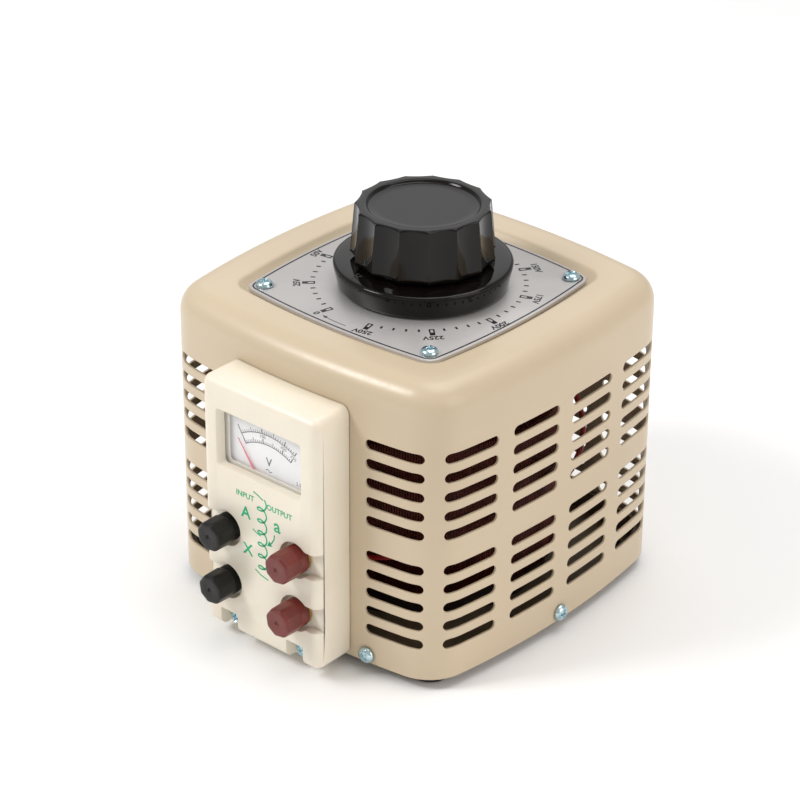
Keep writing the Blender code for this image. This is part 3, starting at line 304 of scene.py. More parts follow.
def beside(shape, quarters, offset=0.0):
    """Point beside a bowed square: quarters counts sides from the middle of +X."""
    half, bow, corner = shape
    straight, centre, tilt, length = quarter_of(shape)
    side = math.floor(quarters + 0.5)
    along = (quarters - side) * length
    if abs(along) <= straight:
        angle = along / bow
        x = half - bow + (bow + offset) * math.cos(angle)
        y = (bow + offset) * math.sin(angle)
    else:
        angle = math.copysign(tilt + (abs(along) - straight) / corner, along)
        x = centre + (corner + offset) * math.cos(angle)
        y = math.copysign(centre, along) + (corner + offset) * math.sin(angle)
    turn = side * math.pi / 2
    return (x * math.cos(turn) - y * math.sin(turn), x * math.sin(turn) + y * math.cos(turn))


quarter = quarter_of(CASE)[3]
print("a quarter of the case's outline is", round(quarter, 2), "mm long")

# %% [markdown]
# ## The cover
# The real cover is one drawn and punched sheet, painted after punching, so its slots have
# paint-rounded lips. Cutting 140 slots with booleans leaves ragged shading on a bowed wall.
# Here each slot is a small cell of its own, a frame of faces from the cell's border to the
# slot's edge and through the sheet, and cells meet their neighbours point to point.

# %% Baked enamel
# A beige polyester enamel, sprayed and baked on steel. It gives soft, slightly wavy
# highlights, the orange peel, about 1.5 mm across and a few microns high.
enamel = surface("baked_beige_enamel", "#C8B69A", "#CDBB9F", (0.30, 0.38), 60, 1.5, 0.004,
                 Metallic=0.0, IOR=1.5, Coat_Weight=0.15, Coat_Roughness=0.2)

# %% One slot's cell
SLOT_END, PITCH, SHEET = 1.85, 7.03, 1.0     # a slot's end radius, row pitch, thickness
COLUMN_PITCH, STRAIGHT_HALF = 28.9, 9.15     # along the wall; half of a slot's straight part
COLUMNS = [COLUMN_PITCH * share for share in (-1.5, -0.5, 0.5, 1.5)]
FIRST_ROWS = (17.25, 58.47)
rows = [first + i * PITCH for first in FIRST_ROWS for i in range(5)]
STRAIGHT = [STRAIGHT_HALF * (i / 4 - 1) for i in range(9)]
FRONT = 3                                    # the side whose middle columns the panel hides


def slot_loop(grow):
    """Points round a slot with round ends, grown outwards, from its lower left end."""
    loop = []
    for sign, start in ((1, -90), (-1, 90)):
        loop += [(sign * x, -sign * (SLOT_END + grow)) for x in STRAIGHT[:-1]]
        for i in range(8):
            angle = math.radians(start + 22.5 * i)
            loop.append((sign * STRAIGHT[-1] + (SLOT_END + grow) * math.cos(angle),
                         (SLOT_END + grow) * math.sin(angle)))
    return loop


def cell_loop(left, right):
    """Points round the cell's border that face those of the slot's loop."""
    loop = []
    for sign, side in ((1, right), (-1, left)):
        edge = -sign * PITCH / 2
        loop += [(sign * x, edge) for x in STRAIGHT]
        loop += [((sign * STRAIGHT[-1] + side) / 2, edge), (side, edge), (side, edge / 2),
                 (side, 0), (side, -edge / 2), (side, -edge),
                 ((sign * STRAIGHT[-1] + side) / 2, -edge)]
    return loop


def on_wall(side, column, loop, row, depth):
    """A flat loop wrapped on the wall, at a depth into the sheet."""
    ring = []
    for along, up_by in loop:
        x, y = beside(CASE, side + (column + along) / quarter, -depth)
        ring.append((x, y, row + up_by))
    return ring


LIP = ((0.5, 0.0), (0.2, 0.0), (0.06, 0.06), (0.0, 0.2), (0.0, 0.8), (0.06, 0.94), (0.2, 1.0))
wall_parts = []
for side in range(4):
    for column in COLUMNS:
        left = max(-COLUMN_PITCH / 2, -quarter / 2 - column)
        right_edge = min(COLUMN_PITCH / 2, quarter / 2 - column)
        border = cell_loop(left, right_edge)
        for row in rows:
            if side == FRONT and abs(column) < COLUMN_PITCH:
                continue
            rings = [on_wall(side, column, border, row, 0.0)]
            rings += [on_wall(side, column, slot_loop(grow), row, depth * SHEET)
                      for grow, depth in LIP]
            rings.append(on_wall(side, column, border, row, SHEET))
            wall_parts.append(loft(rings))
print(len(wall_parts), "slots")

# %% Plain stretches of wall
walk, fronts = [], []
for side in range(4):
    for column in COLUMNS:
        left = max(-COLUMN_PITCH / 2, -quarter / 2 - column)
        right_edge = min(COLUMN_PITCH / 2, quarter / 2 - column)
        stops = [left, (left + STRAIGHT[0]) / 2, *STRAIGHT, (STRAIGHT[-1] + right_edge) / 2]
        here = [side + (column + stop) / quarter for stop in stops]
        walk += here
        if side == FRONT and abs(column) < COLUMN_PITCH:
            fronts += here
fronts.append(3 + COLUMN_PITCH / quarter)
bottom, top = case_low.z, case_high.z
lower_edge, lower_top = rows[0] - PITCH / 2, rows[4] + PITCH / 2
upper_edge, upper_top = rows[5] - PITCH / 2, rows[9] + PITCH / 2
ROLL = 9.0
shoulder = top - ROLL
recess_floor = top - 2.8


def level(height, offset=0.0):
    return [(*beside(CASE, share, offset), height) for share in walk]


def recess_level(height, offset):
    return [(*beside(RECESS, share, offset), height) for share in walk]


for offset in (0.0, -SHEET):
    for low, high in ((bottom, lower_edge), (lower_top, upper_edge), (upper_top, shoulder)):
        steps = 5 if low == bottom else 3
        wall_parts.append(loft([level(low + (high - low) * i / steps, offset)
                                for i in range(steps + 1)]))
    for row in rows:
        levels = [row + PITCH * share for share in (-0.5, -0.25, 0, 0.25, 0.5)]
        wall_parts.append(loft([[(*beside(CASE, share, offset), height) for share in fronts]
                                for height in levels], around=False))

# %% The rolled shoulder, the top and the pressed recess
skin = []
for step in range(11):
    angle = math.radians(9 * step)
    skin.append(level(shoulder + ROLL * math.sin(angle), -ROLL * (1 - math.cos(angle))))
skin.append(level(top, -ROLL - 3))
for grow, drop in ((2.2, 0.0), (1.5, 0.0), (0.9, 0.12), (0.4, 0.42), (0.0, 0.9), (-1.2, 2.0),
                   (-1.7, 2.4), (-2.2, 2.68), (-2.9, 2.8), (-4.0, 2.8)):
    skin.append(recess_level(top - drop, grow))
skin.append([(22 * math.cos(math.pi / 2 * share), 22 * math.sin(math.pi / 2 * share), recess_floor)
             for share in walk])
skin.append([(x, y, z - SHEET) for x, y, z in skin[-1]])
skin.append(recess_level(recess_floor - SHEET, -3.0))
skin.append(recess_level(top - SHEET, 0.6))
for step in range(6):
    angle = math.radians(90 - 18 * step)
    tuck = -SHEET - (ROLL - SHEET) * (1 - math.cos(angle))
    skin.append(level(shoulder + (ROLL - SHEET) * math.sin(angle), tuck))
wall_parts.append(loft(skin))
wall_parts.append(loft([level(bottom), level(bottom, -SHEET)]))
cover = piece("cover_shell", joined(*wall_parts), enamel, "chassis", ["cover"], sharp=50)

# %% [markdown]
# ## The knob
# The knob is moulded in glossy black phenolic: a flanged skirt that carries the pointer,
# and a tapering grip with fifteen shallow hollows that meet in blunt ridges. The hollows
# are a wave on each ring's radius, so one loft makes the whole outside.

# %% Moulded phenolic
# Compression-moulded phenolic comes out of a polished mould: nearly black, with a sharp
# reflection that a faint ripple of about 6 mm disturbs.
phenolic = surface("glossy_black_phenolic", "#0A0706", "#100B0A", (0.06, 0.10), 14, 6.0, 0.006,
                   Metallic=0.0, IOR=1.5, Specular_IOR_Level=0.27)

# %% Skirt and grip
knob_low, knob_high = span("knob")
shaft_low, shaft_high = span("shaft")
turn_x = (shaft_low.x + shaft_high.x) / 2
turn_y = (shaft_low.y + shaft_high.y) / 2
FLUTES, POINTER = 15, math.radians(255.0)
skirt_top = knob_low.z + 8.2
PER_FLUTE = 20
STEPS = FLUTES * PER_FLUTE


def knob_ring(radius, height, hollow=0.0):
    """A ring whose radius dips by hollow between the ridges of the grip."""
    ring = []
    for i in range(STEPS):
        phase = (i % PER_FLUTE) / PER_FLUTE
        dip = hollow * math.sin(math.pi * phase) ** 0.8
        angle = POINTER + 2 * math.pi * (i / STEPS + 0.5 / FLUTES)
        ring.append((turn_x + (radius - dip) * math.cos(angle),
                     turn_y + (radius - dip) * math.sin(angle), height))
    return ring


knob_profile = [(0, -1.0, 0), (15, -1.0, 0), (18.1, -0.97, 0), (18.5, -0.85, 0),
                (18.75, -0.45, 0), (18.95, -0.12, 0), (19.3, 0, 0), (20.2, 0, 0),
                (21.4, 0, 0.5), (22.3, -0.02, 0.8), (22.65, -0.12, 0.9), (22.82, -0.35, 1.0),
                (22.9, -0.7, 1.1), (23.4, -6.5, 1.25), (23.9, -12, 1.35), (24.3, -16.9, 1.4),
                (24.42, -17.6, 1.4), (24.3, -18.0, 1.35), (23.7, -18.6, 1.1),
                (22.9, -19.3, 0.8), (22.4, -19.75, 0.6)]
rings = [knob_ring(r, knob_high.z + drop, hollow) for r, drop, hollow in knob_profile]
SKIRT = [(23.4, 0.42), (25.5, 0.34), (27.6, 0.22), (29.0, 0.08), (29.6, -0.05), (29.95, -0.3),
         (30.1, -0.7), (29.85, -2.3), (29.3, -4.9), (28.8, -7.2), (28.62, -7.9), (28.4, -8.15),
         (28.1, -8.2), (26.9, -8.2), (26.9, -3.0), (20.8, -2.2), (20.0, -1.0), (19.0, 16.0),
         (8.5, 16.0), (8.5, -7.2), (3.4, -7.2), (3.4, 12.0), (0, 12.0)]
rings += [knob_ring(r, skirt_top + rise) for r, rise in SKIRT]
knob = piece("knob_moulding", loft(rings), phenolic, "control", ["knob"], sharp=42)

# %% [markdown]
# ## Flat print
# Ticks, borders and numbers are ink a few hundredths of a millimetre thick. They are drawn
# flat in millimetres, as strokes and letters, then laid just clear of the surface below.
# The scale behind the pane is read from closer, so its print lies closer still.


# %% Strokes and letters
PRINT_GAP = 0.03


def stroke(path, width, closed=False):
    """A flat band along a path of (x, y) points."""
    points = [Vector(p) for p in path]
    count = len(points)
    outer, inner = [], []
    for i, point in enumerate(points):
        before = points[i - 1] if i or closed else point
        after = points[(i + 1) % count] if i < count - 1 or closed else point
        along = (after - before).normalized()
        across = Vector((-along.y, along.x)) * width / 2
        outer.append(point + across)
        inner.append(point - across)
    return loft([outer, inner], around=closed)


def letters(text, height, place, angle=0.0, weight=0.0):
    """A word in flat outlines, its middle at place, its capitals height tall."""
    curve = bpy.data.curves.new("letters", "FONT")
    curve.body = text
    curve.size = height / 0.7
    curve.offset = weight
    curve.align_x, curve.align_y = "CENTER", "CENTER"
    curve.resolution_u = 3
    holder = bpy.data.objects.new("letters", curve)
    mesh = bpy.data.meshes.new_from_object(holder)
    spin = Matrix.Rotation(angle, 2)
    points = [spin @ Vector(v.co[:2]) + Vector(place) for v in mesh.vertices]
    faces = [tuple(face.vertices) for face in mesh.polygons]
    bpy.data.objects.remove(holder)
    return points, faces


def laid_flat(shape, height):
    """Print on a surface that faces up."""
    return [(x, y, height) for x, y in shape[0]], shape[1]


def laid_upright(shape, y_front):
    """Print on a surface that faces the front."""
    return [(x, y_front, z) for x, z in shape[0]], shape[1]


def facing(mesh, outward):
    """Turns every flat face of a mesh to look outward."""
    work = bmesh.new()
    work.from_mesh(mesh)
    flip = [face for face in work.faces if face.normal.dot(Vector(outward)) < 0]
    bmesh.ops.reverse_faces(work, faces=flip)
    work.to_mesh(mesh)
    work.free()


# %% [markdown]
# ## The dial plate
# The dial is a sheet of aluminium with a silver lacquer, printed in black. Fifty steps of
# 5 V run clockwise round the knob, with a half-filled box and a number at every 25 V.

# %% Lacquered aluminium and screen ink
# Silver lacquer on rolled aluminium: it glows softly like frosted metal, with a grain of
# about 0.3 mm, drawn a little coarser than it is so that it shows.
dial_metal = surface("silver_lacquered_aluminium", "#BFBBBA", "#CAC7C5", (0.38, 0.46), 45, 0.3,
                     0.0012, Metallic=0.55)
ink = surface("black_screen_ink", "#0E0D0D", "#191818", (0.40, 0.50), 6, 0.3, 0.001, IOR=1.5)

# %% Plate
plate_low, plate_high = span("dial_plate")
plate_walk = [i / 32 for i in range(128)]


def plate_level(height, offset):
    return [(*beside(PLATE, share, offset), height) for share in plate_walk]


plate_rings = [plate_level(plate_low.z, -0.1), plate_level(plate_high.z - 0.25, 0.0),
               plate_level(plate_high.z - 0.07, -0.07), plate_level(plate_high.z, -0.25)]
for height in (plate_high.z, plate_low.z):
    plate_rings.append([(turn_x + 6 * math.cos(math.pi / 2 * share),
                         turn_y + 6 * math.sin(math.pi / 2 * share), height)
                        for share in plate_walk])
plate = piece("dial_sheet", loft(plate_rings, along=True), dial_metal, "chassis",
              ["dial_plate"], sharp=30)

# %% Ticks, numbers and border
DIAL_MIDDLE = Vector((0.2, 0.3))
TICK_START, TICK_END, WORD_RADIUS, ARROW_RADIUS = 34.9, 36.5, 40.8, 40.3
ZERO, SWEEP, TOP_VOLTS = 255.94, 331.68, 250


def dial_angle(volts):
    return math.radians(ZERO - SWEEP * volts / TOP_VOLTS)


def ray(angle, radius, aside=0.0):
    """A point on the dial at an angle and radius, moved aside across the ray."""
    along = Vector((math.cos(angle), math.sin(angle)))
    return DIAL_MIDDLE + along * radius + Vector((-along.y, along.x)) * aside


dial_print = []
for volts in range(0, TOP_VOLTS + 1, 5):
    angle = dial_angle(volts)
    if volts % 25:
        dial_print.append(stroke([ray(angle, TICK_START), ray(angle, TICK_END)], 0.7))
        continue
    dial_print.append(stroke([ray(angle, 37.2), ray(angle, 39.1)], 1.75))
    for aside in (-0.70, 0.70):
        dial_print.append(stroke([ray(angle, 34.84, aside), ray(angle, 37.3, aside)], 0.52))
    dial_print.append(stroke([ray(angle, 35.02, -0.86), ray(angle, 35.02, 0.86)], 0.5))
    word = f"{volts}V" if volts else "0"
    dial_print.append(letters(word, 2.3, ray(angle, WORD_RADIUS), angle - math.pi / 2, 0.09))
gap_start, gap_end = dial_angle(250) - math.radians(9.5), dial_angle(0) - 2 * math.pi
gap_end += math.radians(6) + 2 * math.pi
sweep_back = [gap_start + 2 * math.pi - (gap_start + 2 * math.pi - gap_end) * i / 12
              for i in range(13)]
dial_print.append(stroke([ray(a, ARROW_RADIUS) for a in sweep_back], 0.28))
tip = sweep_back[-1]
dial_print.append(([ray(tip - math.radians(2.6), ARROW_RADIUS), ray(tip + math.radians(0.4), 39.6),
                    ray(tip + math.radians(0.4), 41.0)], [(0, 1, 2)]))
border = [beside(PLATE, share, -1.35) for share in plate_walk]
dial_print.append(stroke(border, 0.62, closed=True))
dial_ink = piece("dial_print", laid_flat(joined(*dial_print), plate_high.z + PRINT_GAP), ink,
                 "chassis")
facing(dial_ink.data, (0, 0, 1))

# %% Pointer engraved on the knob's flange
knob_middle = Vector((turn_x, turn_y))


def flange_point(radius, aside):
    along = Vector((math.cos(POINTER), math.sin(POINTER)))
    return knob_middle + along * radius + Vector((-along.y, along.x)) * aside


mark = stroke([flange_point(25.0, 1.15), flange_point(28.6, 0.0), flange_point(25.0, -1.15)],
              0.45, closed=True)
pointer_ink = surface("engraved_groove", "#3A3532", "#4A4440", (0.55, 0.7), 3, 0.4, 0.002)
marked = [(x, y, skirt_top + 0.40 - 0.011 * max(0.0, (Vector((x, y)) - knob_middle).length - 25.0)
           ** 2.0 + PRINT_GAP) for x, y in mark[0]]
pointer = piece("knob_pointer", (marked, mark[1]), pointer_ink, "control")
facing(pointer.data, (0, 0, 1))

# %% [markdown]
# ## Pan-head screws
# The case, the dial and the panel are held by small pan-head screws with a cross recess.
# One head is turned, cut with a tapering cross and softened at its edges, and its mesh is
# then laid at each screw's place.

# %% Bright zinc plate
# Electroplated zinc with a blue passivate: bright, bluish and faintly streaked by the
# drawing of the wire, in streaks of about 0.4 mm.
zinc = surface("blue_zinc_plate", "#9FC3CF", "#D6E6EA", (0.16, 0.30), 1.6, 0.4, 0.003,
               Metallic=1.0)


# %% One head
def cross_ring(reach_out, half, height):
    arm = [(-reach_out, -half), (-half, -half), (-half, -reach_out), (half, -reach_out),
           (half, -half), (reach_out, -half), (reach_out, half), (half, half),
           (half, reach_out), (-half, reach_out), (-half, half), (-reach_out, half)]
    return [(x, y, height) for x, y in arm]


def plain_mesh(name, shape):
    """A closed mesh in metres round the origin."""
    made = bpy.data.meshes.new(name)
    made.from_pydata([Vector(point) * MM for point in shape[0]], [], shape[1])
    work = bmesh.new()
    work.from_mesh(made)
    bmesh.ops.remove_doubles(work, verts=work.verts, dist=0.002 * MM)
    bmesh.ops.holes_fill(work, edges=work.edges, sides=64)
    bmesh.ops.recalc_face_normals(work, faces=work.faces)
    work.to_mesh(made)
    work.free()
    return made


def carved(body_mesh, cutter_mesh, round_off, sharp):
    """A mesh cut by another, with its edges rounded off."""
    solid = bpy.data.objects.new("solid", body_mesh)
    tool = bpy.data.objects.new("tool", cutter_mesh)
    for thing in (solid, tool):
        bpy.context.scene.collection.objects.link(thing)
    cut = solid.modifiers.new("cut", "BOOLEAN")
    cut.operation, cut.solver, cut.object = "DIFFERENCE", "EXACT", tool
    if round_off:
        soften = solid.modifiers.new("soften", "BEVEL")
        soften.width, soften.segments = round_off * MM, 2
        soften.limit_method, soften.angle_limit = "ANGLE", math.radians(35)
    shape = solid.evaluated_get(bpy.context.evaluated_depsgraph_get())
    made = bpy.data.meshes.new_from_object(shape)
    made.shade_smooth()
    made.set_sharp_from_angle(angle=math.radians(sharp))
    bpy.data.objects.remove(solid)
    bpy.data.objects.remove(tool)
    return made


head_profile = [(0, 1.9), (1.0, 1.86), (1.7, 1.72), (2.3, 1.42), (2.7, 1.02), (2.93, 0.55),
                (3.0, 0.18), (2.95, 0.0), (1.5, 0.0), (1.5, -4.6), (0, -4.6)]
head = plain_mesh("head", lathe(head_profile, 48))
cross = plain_mesh("cross", loft([cross_ring(2.1, 0.52, 2.4), cross_ring(1.15, 0.34, 0.75)]))
head = carved(head, cross, 0.06, 40)
head.materials.append(zinc)

# %% Lay the heads
placings = []
for index in range(1, 5):
    low, high = span(f"plate_screw_{index}")
    place = ((low.x + high.x) / 2, (low.y + high.y) / 2, high.z - 1.9)
    placings.append((f"plate_screw_{index}", place, (0, 0, 1)))
for name, share in (("right", 0.0), ("back", 1.0), ("left", 2.0),
                    ("front_left", 3 - 33.1 / quarter), ("front_right", 3 + 33.1 / quarter)):
    near, far = Vector(beside(CASE, share, 0.3)), Vector(beside(CASE, share, 1.3))
    low, high = span(f"cover_screw_{name}")
    place = (near.x, near.y, (low.z + high.z) / 2)
    placings.append((f"cover_screw_{name}", place, (far.x - near.x, far.y - near.y, 0)))
for name in ("left", "right"):
    low, high = span(f"panel_screw_{name}")
    place = ((low.x + high.x) / 2, low.y + 1.9, (low.z + high.z) / 2)
    placings.append((f"panel_screw_{name}", place, (0, -1, 0)))
for number, (name, place, outward) in enumerate(placings):
    laid = piece(f"{name}_head", head, zinc, "chassis", [name])
    aimed = Vector(outward).to_track_quat("Z", "Y").to_matrix()
    spun = aimed @ Matrix.Rotation(math.radians(23 + 37 * number), 3, "Z")
    laid.matrix_world = Matrix.Translation(Vector(place) * MM + middle) @ spun.to_4x4()

# %% [markdown]
# ## The front panel
# The panel is one ivory moulding with a rolled front edge. It is easiest to make as the
# mould maker would: start from the full block, then take away the meter's window, the
# round pockets behind the posts with their wire channels, and the notches for its screws.

# %% Moulded ABS
# Ivory ABS from a fine-sparked mould: satin, warm and slightly soft where light enters it.
ivory = surface("satin_ivory_abs", "#E9DFCC", "#EEE6D5", (0.32, 0.42), 30, 0.8, 0.003,
                Metallic=0.0, IOR=1.53, Subsurface_Weight=0.12, Subsurface_Scale=0.002)

# %% Block, window, pockets and notches
panel_low, panel_high = span("front_panel")
panel_x = (panel_low.x + panel_high.x) / 2
panel_half = (panel_high.x - panel_low.x) / 2
front = panel_low.y
pane_low, pane_high = span("meter_window")


def panel_level(y, tuck):
    """Rounded rectangle of the panel at a depth y, tucked in at its rolled edge."""
    corner = max(3.0 - tuck, 1.0)
    ring = []
    for sx, sz, start in ((1, 1, 0), (-1, 1, 90), (-1, -1, 180), (1, -1, 270)):
        edge_z = panel_high.z - tuck if sz > 0 else panel_low.z + tuck
        for i in range(7):
            angle = math.radians(start + 15 * i)
            ring.append((panel_x + sx * (panel_half - tuck - corner) + corner * math.cos(angle), y,
                         edge_z - sz * corner + corner * math.sin(angle)))
    return ring


ROUND = 3.5
levels = [panel_level(-58.0, 0.0), panel_level(front + ROUND, 0.0)]
for step in range(1, 9):
    angle = math.radians(11.25 * step)
    levels.append(panel_level(front + ROUND * (1 - math.sin(angle)),
                              ROUND * (1 - math.cos(angle)) * 0.95))
block = plain_mesh("block", loft(levels))


def slab(x_range, y_range, z_range):
    """A box as a loft of two rings."""
    (x0, x1), (z0, z1) = x_range, z_range
    return loft([[(x0, y, z0), (x1, y, z0), (x1, y, z1), (x0, y, z1)] for y in y_range])


def window_ring(y, half_x, half_z):
    """The window's rounded rectangle at a depth y."""
    corner = 1.4
    ring = []
    for sx, sz, start in ((1, 1, 0), (-1, 1, 90), (-1, -1, 180), (1, -1, 270)):
        for i in range(5):
            angle = math.radians(start + 22.5 * i)
            ring.append((panel_x + sx * (half_x - corner) + corner * math.cos(angle), y,
                         77.3 + sz * (half_z - corner) + corner * math.sin(angle)))
    return ring


def pocket(x, height, side):
    """Round pocket behind a cap with a channel that runs out to the panel's side."""
    radius, half = 6.5, 4.7
    bend = math.asin(half / radius)
    outline = []
    for i in range(33):
        angle = bend + (2 * math.pi - 2 * bend) * i / 32
        outline.append((x + side * radius * math.cos(angle), height + radius * math.sin(angle)))
    outline += [(x + side * 30, height - half), (x + side * 30, height + half)]
    return loft([[(px, y, pz) for px, pz in outline] for y in (front - 5, front + 3.4)])


posts = {}
for row in ("upper", "lower"):
    for side_name in ("input", "output"):
        low, high = span(f"post_cap_{side_name}_{row}")
        posts[f"{side_name}_{row}"] = ((low.x + high.x) / 2, low.y, high.y, (low.z + high.z) / 2)
tools = [loft([window_ring(front - 1, 19.55, 11.05), window_ring(front + 4.0, 15.9, 8.9)]),
         slab((pane_low.x - 0.2, pane_high.x + 0.2), (pane_low.y - 0.05, pane_high.y + 0.05),
              (pane_low.z - 0.1, pane_high.z + 0.1)),
         slab((panel_x - 22, panel_x + 22), (front + 3.85, -50), (52, 93))]
for name, (x, cap_front, cap_back, height) in posts.items():
    tools.append(pocket(x, height, -1 if name.startswith("input") else 1))
for name in ("left", "right"):
    low, high = span(f"panel_screw_{name}")
    x = (low.x + high.x) / 2
    notch_top = (low.z + high.z) / 2 + 4.0
    tools.append(slab((x - 3.8, x + 3.8), (front - 5, front + 4.8), (-5, notch_top)))
walk_back = [beside(CASE, i / 32, 0.3) for i in range(128)]
tools.append(loft([[(x, y, z) for x, y in walk_back] for z in (-10, 110)]))
solid = block
for tool in tools[:-1]:
    solid = carved(solid, plain_mesh("tool", tool), 0, 35)
solid = carved(solid, plain_mesh("tool", tools[-1]), 0.28, 35)
solid.transform(Matrix.Translation(middle))
solid.materials.clear()
panel = piece("panel_moulding", solid, ivory, "chassis", ["front_panel"])

# %% [markdown]
# ## Print on the panel
# Green ink marks the input side, the output side and the sign for a tapped coil with a
# sliding contact. The coil's sign is one long looping stroke.

# %% Green ink
green = surface("green_pad_ink", "#0FA36C", "#1BB27C", (0.45, 0.55), 5, 0.4, 0.001, IOR=1.5)
coil_top_z, coil_bottom_z, loops = 60.3, 33.6, 6
path = []
for i in range(loops * 24 + 1):
    turn = 2 * math.pi * i / 24
    share = i / (loops * 24)
    path.append((2.1 + 2.0 * math.sin(turn + 0.6),
                 coil_top_z - (coil_top_z - coil_bottom_z) * share + 1.5 * math.cos(turn + 0.6)))
marks = [stroke(path, 0.6),
         stroke([(-1.6, 62.9), (0.6, 62.2), (2.6, 61.2)], 0.5),
         stroke([(-2.2, 48.6), (-0.2, 47.6), (1.4, 47.2)], 0.5),
         stroke([(-1.4, 33.4), (1.0, 32.2), (4.4, 31.4)], 0.5),
         stroke([(7.6, 50.0), (7.3, 48.2), (6.4, 46.6), (5.5, 45.7)], 0.5),
         ([(4.2, 44.6), (6.5, 45.1), (5.2, 46.9)], [(0, 1, 2)]),
         letters("INPUT", 2.0, (-5.4, 59.9), 0.0, 0.06),
         letters("OUTPUT", 2.0, (9.9, 59.4), 0.0, 0.06),
         letters("A", 4.2, (-5.2, 53.4), 0.0, 0.12),
         letters("X", 4.2, (-4.6, 39.6), 0.0, 0.12),
         letters("a", 4.8, (8.8, 53.6), 0.0, 0.12)]
panel_ink = piece("panel_print", laid_upright(joined(*marks), front - PRINT_GAP), green, "chassis")
facing(panel_ink.data, (0, -1, 0))

# %% [markdown]
# ## Binding posts
# Each cap is a moulded nut with a brass insert: a round collar against the panel, then an
# eight-sided grip with softened corners and a shallow dimple on its face.

# %% Moulded caps
# Unfilled polyamide in black and in a dull dark red; both come satin from the mould.
cap_black = surface("satin_black_polyamide", "#0D0C0B", "#151312", (0.30, 0.42), 5, 0.5, 0.004,
                    IOR=1.53, Specular_IOR_Level=0.30)
cap_red = surface("dark_red_polyamide", "#641E17", "#72261D", (0.32, 0.44), 5, 0.5, 0.004,
                  IOR=1.53, Subsurface_Weight=0.05, Subsurface_Scale=0.001)


# %% Cap
def cap_ring(radius, height, eight):
    """A ring between round, eight 0, and eight-sided, eight 1."""
    ring = []
    for i in range(64):
        angle = 2 * math.pi * i / 64
        off_flat = (angle + math.pi / 8) % (math.pi / 4) - math.pi / 8
        flat = radius * math.cos(math.pi / 8) / math.cos(off_flat)
        soft = min(flat, radius * 0.975)
        reach_out = radius * (1 - eight) + soft * eight
        ring.append((reach_out * math.cos(angle), reach_out * math.sin(angle), height))
    return ring


for name, (x, cap_front, cap_back, height) in posts.items():
    long = cap_back - cap_front
    rings = [cap_ring(0, long - 0.5, 0), cap_ring(0.7, long - 0.45, 0),
             cap_ring(1.0, long - 0.06, 0), cap_ring(1.3, long, 0), cap_ring(3.6, long, 0.6),
             cap_ring(4.55, long, 1), cap_ring(4.95, long - 0.12, 1),
             cap_ring(5.25, long - 0.45, 1), cap_ring(5.38, long - 1.0, 1),
             cap_ring(5.5, 4.4, 1), cap_ring(5.5, 3.9, 1), cap_ring(5.38, 3.6, 0.9),
             cap_ring(5.05, 3.3, 0.4), cap_ring(5.0, 3.0, 0), cap_ring(5.0, 0.3, 0),
             cap_ring(4.8, 0, 0), cap_ring(3.65, 0, 0), cap_ring(3.65, long - 1.6, 0),
             cap_ring(0, long - 1.6, 0)]
    finish = cap_black if name.startswith("input") else cap_red
    turn = Matrix.Rotation(math.pi / 2, 3, "X") @ Matrix.Rotation(math.radians(9), 3, "Z")
    cap = piece(f"cap_{name}", placed(loft(rings), turn, (x, cap_back, height)), finish,
                f"cap_{name}", [f"post_cap_{name}"], sharp=32)

# %% [markdown]
# ## The voltmeter
# Behind the window a white scale carries two black arcs, one for each half of the reading,
# with a red pointer at rest just below zero. Its own sheet, case and pane stay as packed
# and take their finishes here; only the print is added.

# %% Scale print
scale_face = span("meter_scale")[0].y
pivot = Vector((panel_x, 59.2))
START, END = 121.2, 60.0


def scale_point(share, radius):
    angle = math.radians(START + (END - START) * share)
    return pivot + Vector((math.cos(angle), math.sin(angle))) * radius


meter_print = []
for radius in (23.1, 19.5):
    meter_print.append(stroke([scale_point(i / 40, radius) for i in range(41)], 0.32))
    for volts in range(0, 251, 10):
        share = volts / 250
        tall = 1.7 if volts % 50 == 0 else 1.0
        thick = 0.46 if volts % 100 == 0 or volts == 250 else 0.26
        meter_print.append(stroke([scale_point(share, radius),
                                   scale_point(share, radius + tall)], thick))
meter_print.append(stroke([scale_point(0, 19.2), scale_point(0, 26.2)], 0.42))
for volts in (100, 200, 250):
    lean = math.radians(START + (END - START) * volts / 250) - math.pi / 2
    meter_print.append(letters(str(volts), 1.25, scale_point(volts / 250, 21.95), lean, 0.01))
meter_print.append(letters("V", 3.0, (panel_x + 0.1, 72.4), 0.0, 0.06))
wave = [(panel_x - 1.4 + 2.8 * i / 16, 69.3 + 0.32 * math.sin(2 * math.pi * i / 16))
        for i in range(17)]
meter_print.append(stroke(wave, 0.28))
meter_print.append(letters("2.5", 1.3, (panel_x + 13.2, 69.2), 0.0, 0.01))
scale_ink = piece("meter_print", laid_upright(joined(*meter_print), scale_face - 0.02), ink,
                  "chassis")
facing(scale_ink.data, (0, -1, 0))

# %% Card, pane, pointer and case
# The scale is white-enamelled sheet, the pane clear cast acrylic, and the pointer a
# lacquered aluminium strip.
card = surface("white_enamelled_sheet", "#F2F1F0", "#F8F7F6", (0.5, 0.6), 20, 0.4, 0.001, IOR=1.5)
pane = surface("clear_cast_acrylic", "#FFFFFF", "#F6F8FF", (0.02, 0.05), 40, 4.0, 0.0005, IOR=1.49,
               Alpha=0.10)
red_lacquer = surface("red_lacquered_strip", "#E8546A", "#F2667C", (0.35, 0.45), 3, 0.3, 0.001)
meter_case = surface("matte_black_abs", "#161616", "#222222", (0.5, 0.62), 10, 0.5, 0.003)


def finish_nodes(finish, *names):
    """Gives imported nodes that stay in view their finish."""
    for name in names:
        for material_slot in nodes[name].material_slots:
            material_slot.material = finish


finish_nodes(card, "meter_scale")
finish_nodes(pane, "meter_window")
finish_nodes(red_lacquer, "meter_needle")
finish_nodes(meter_case, "meter_case")

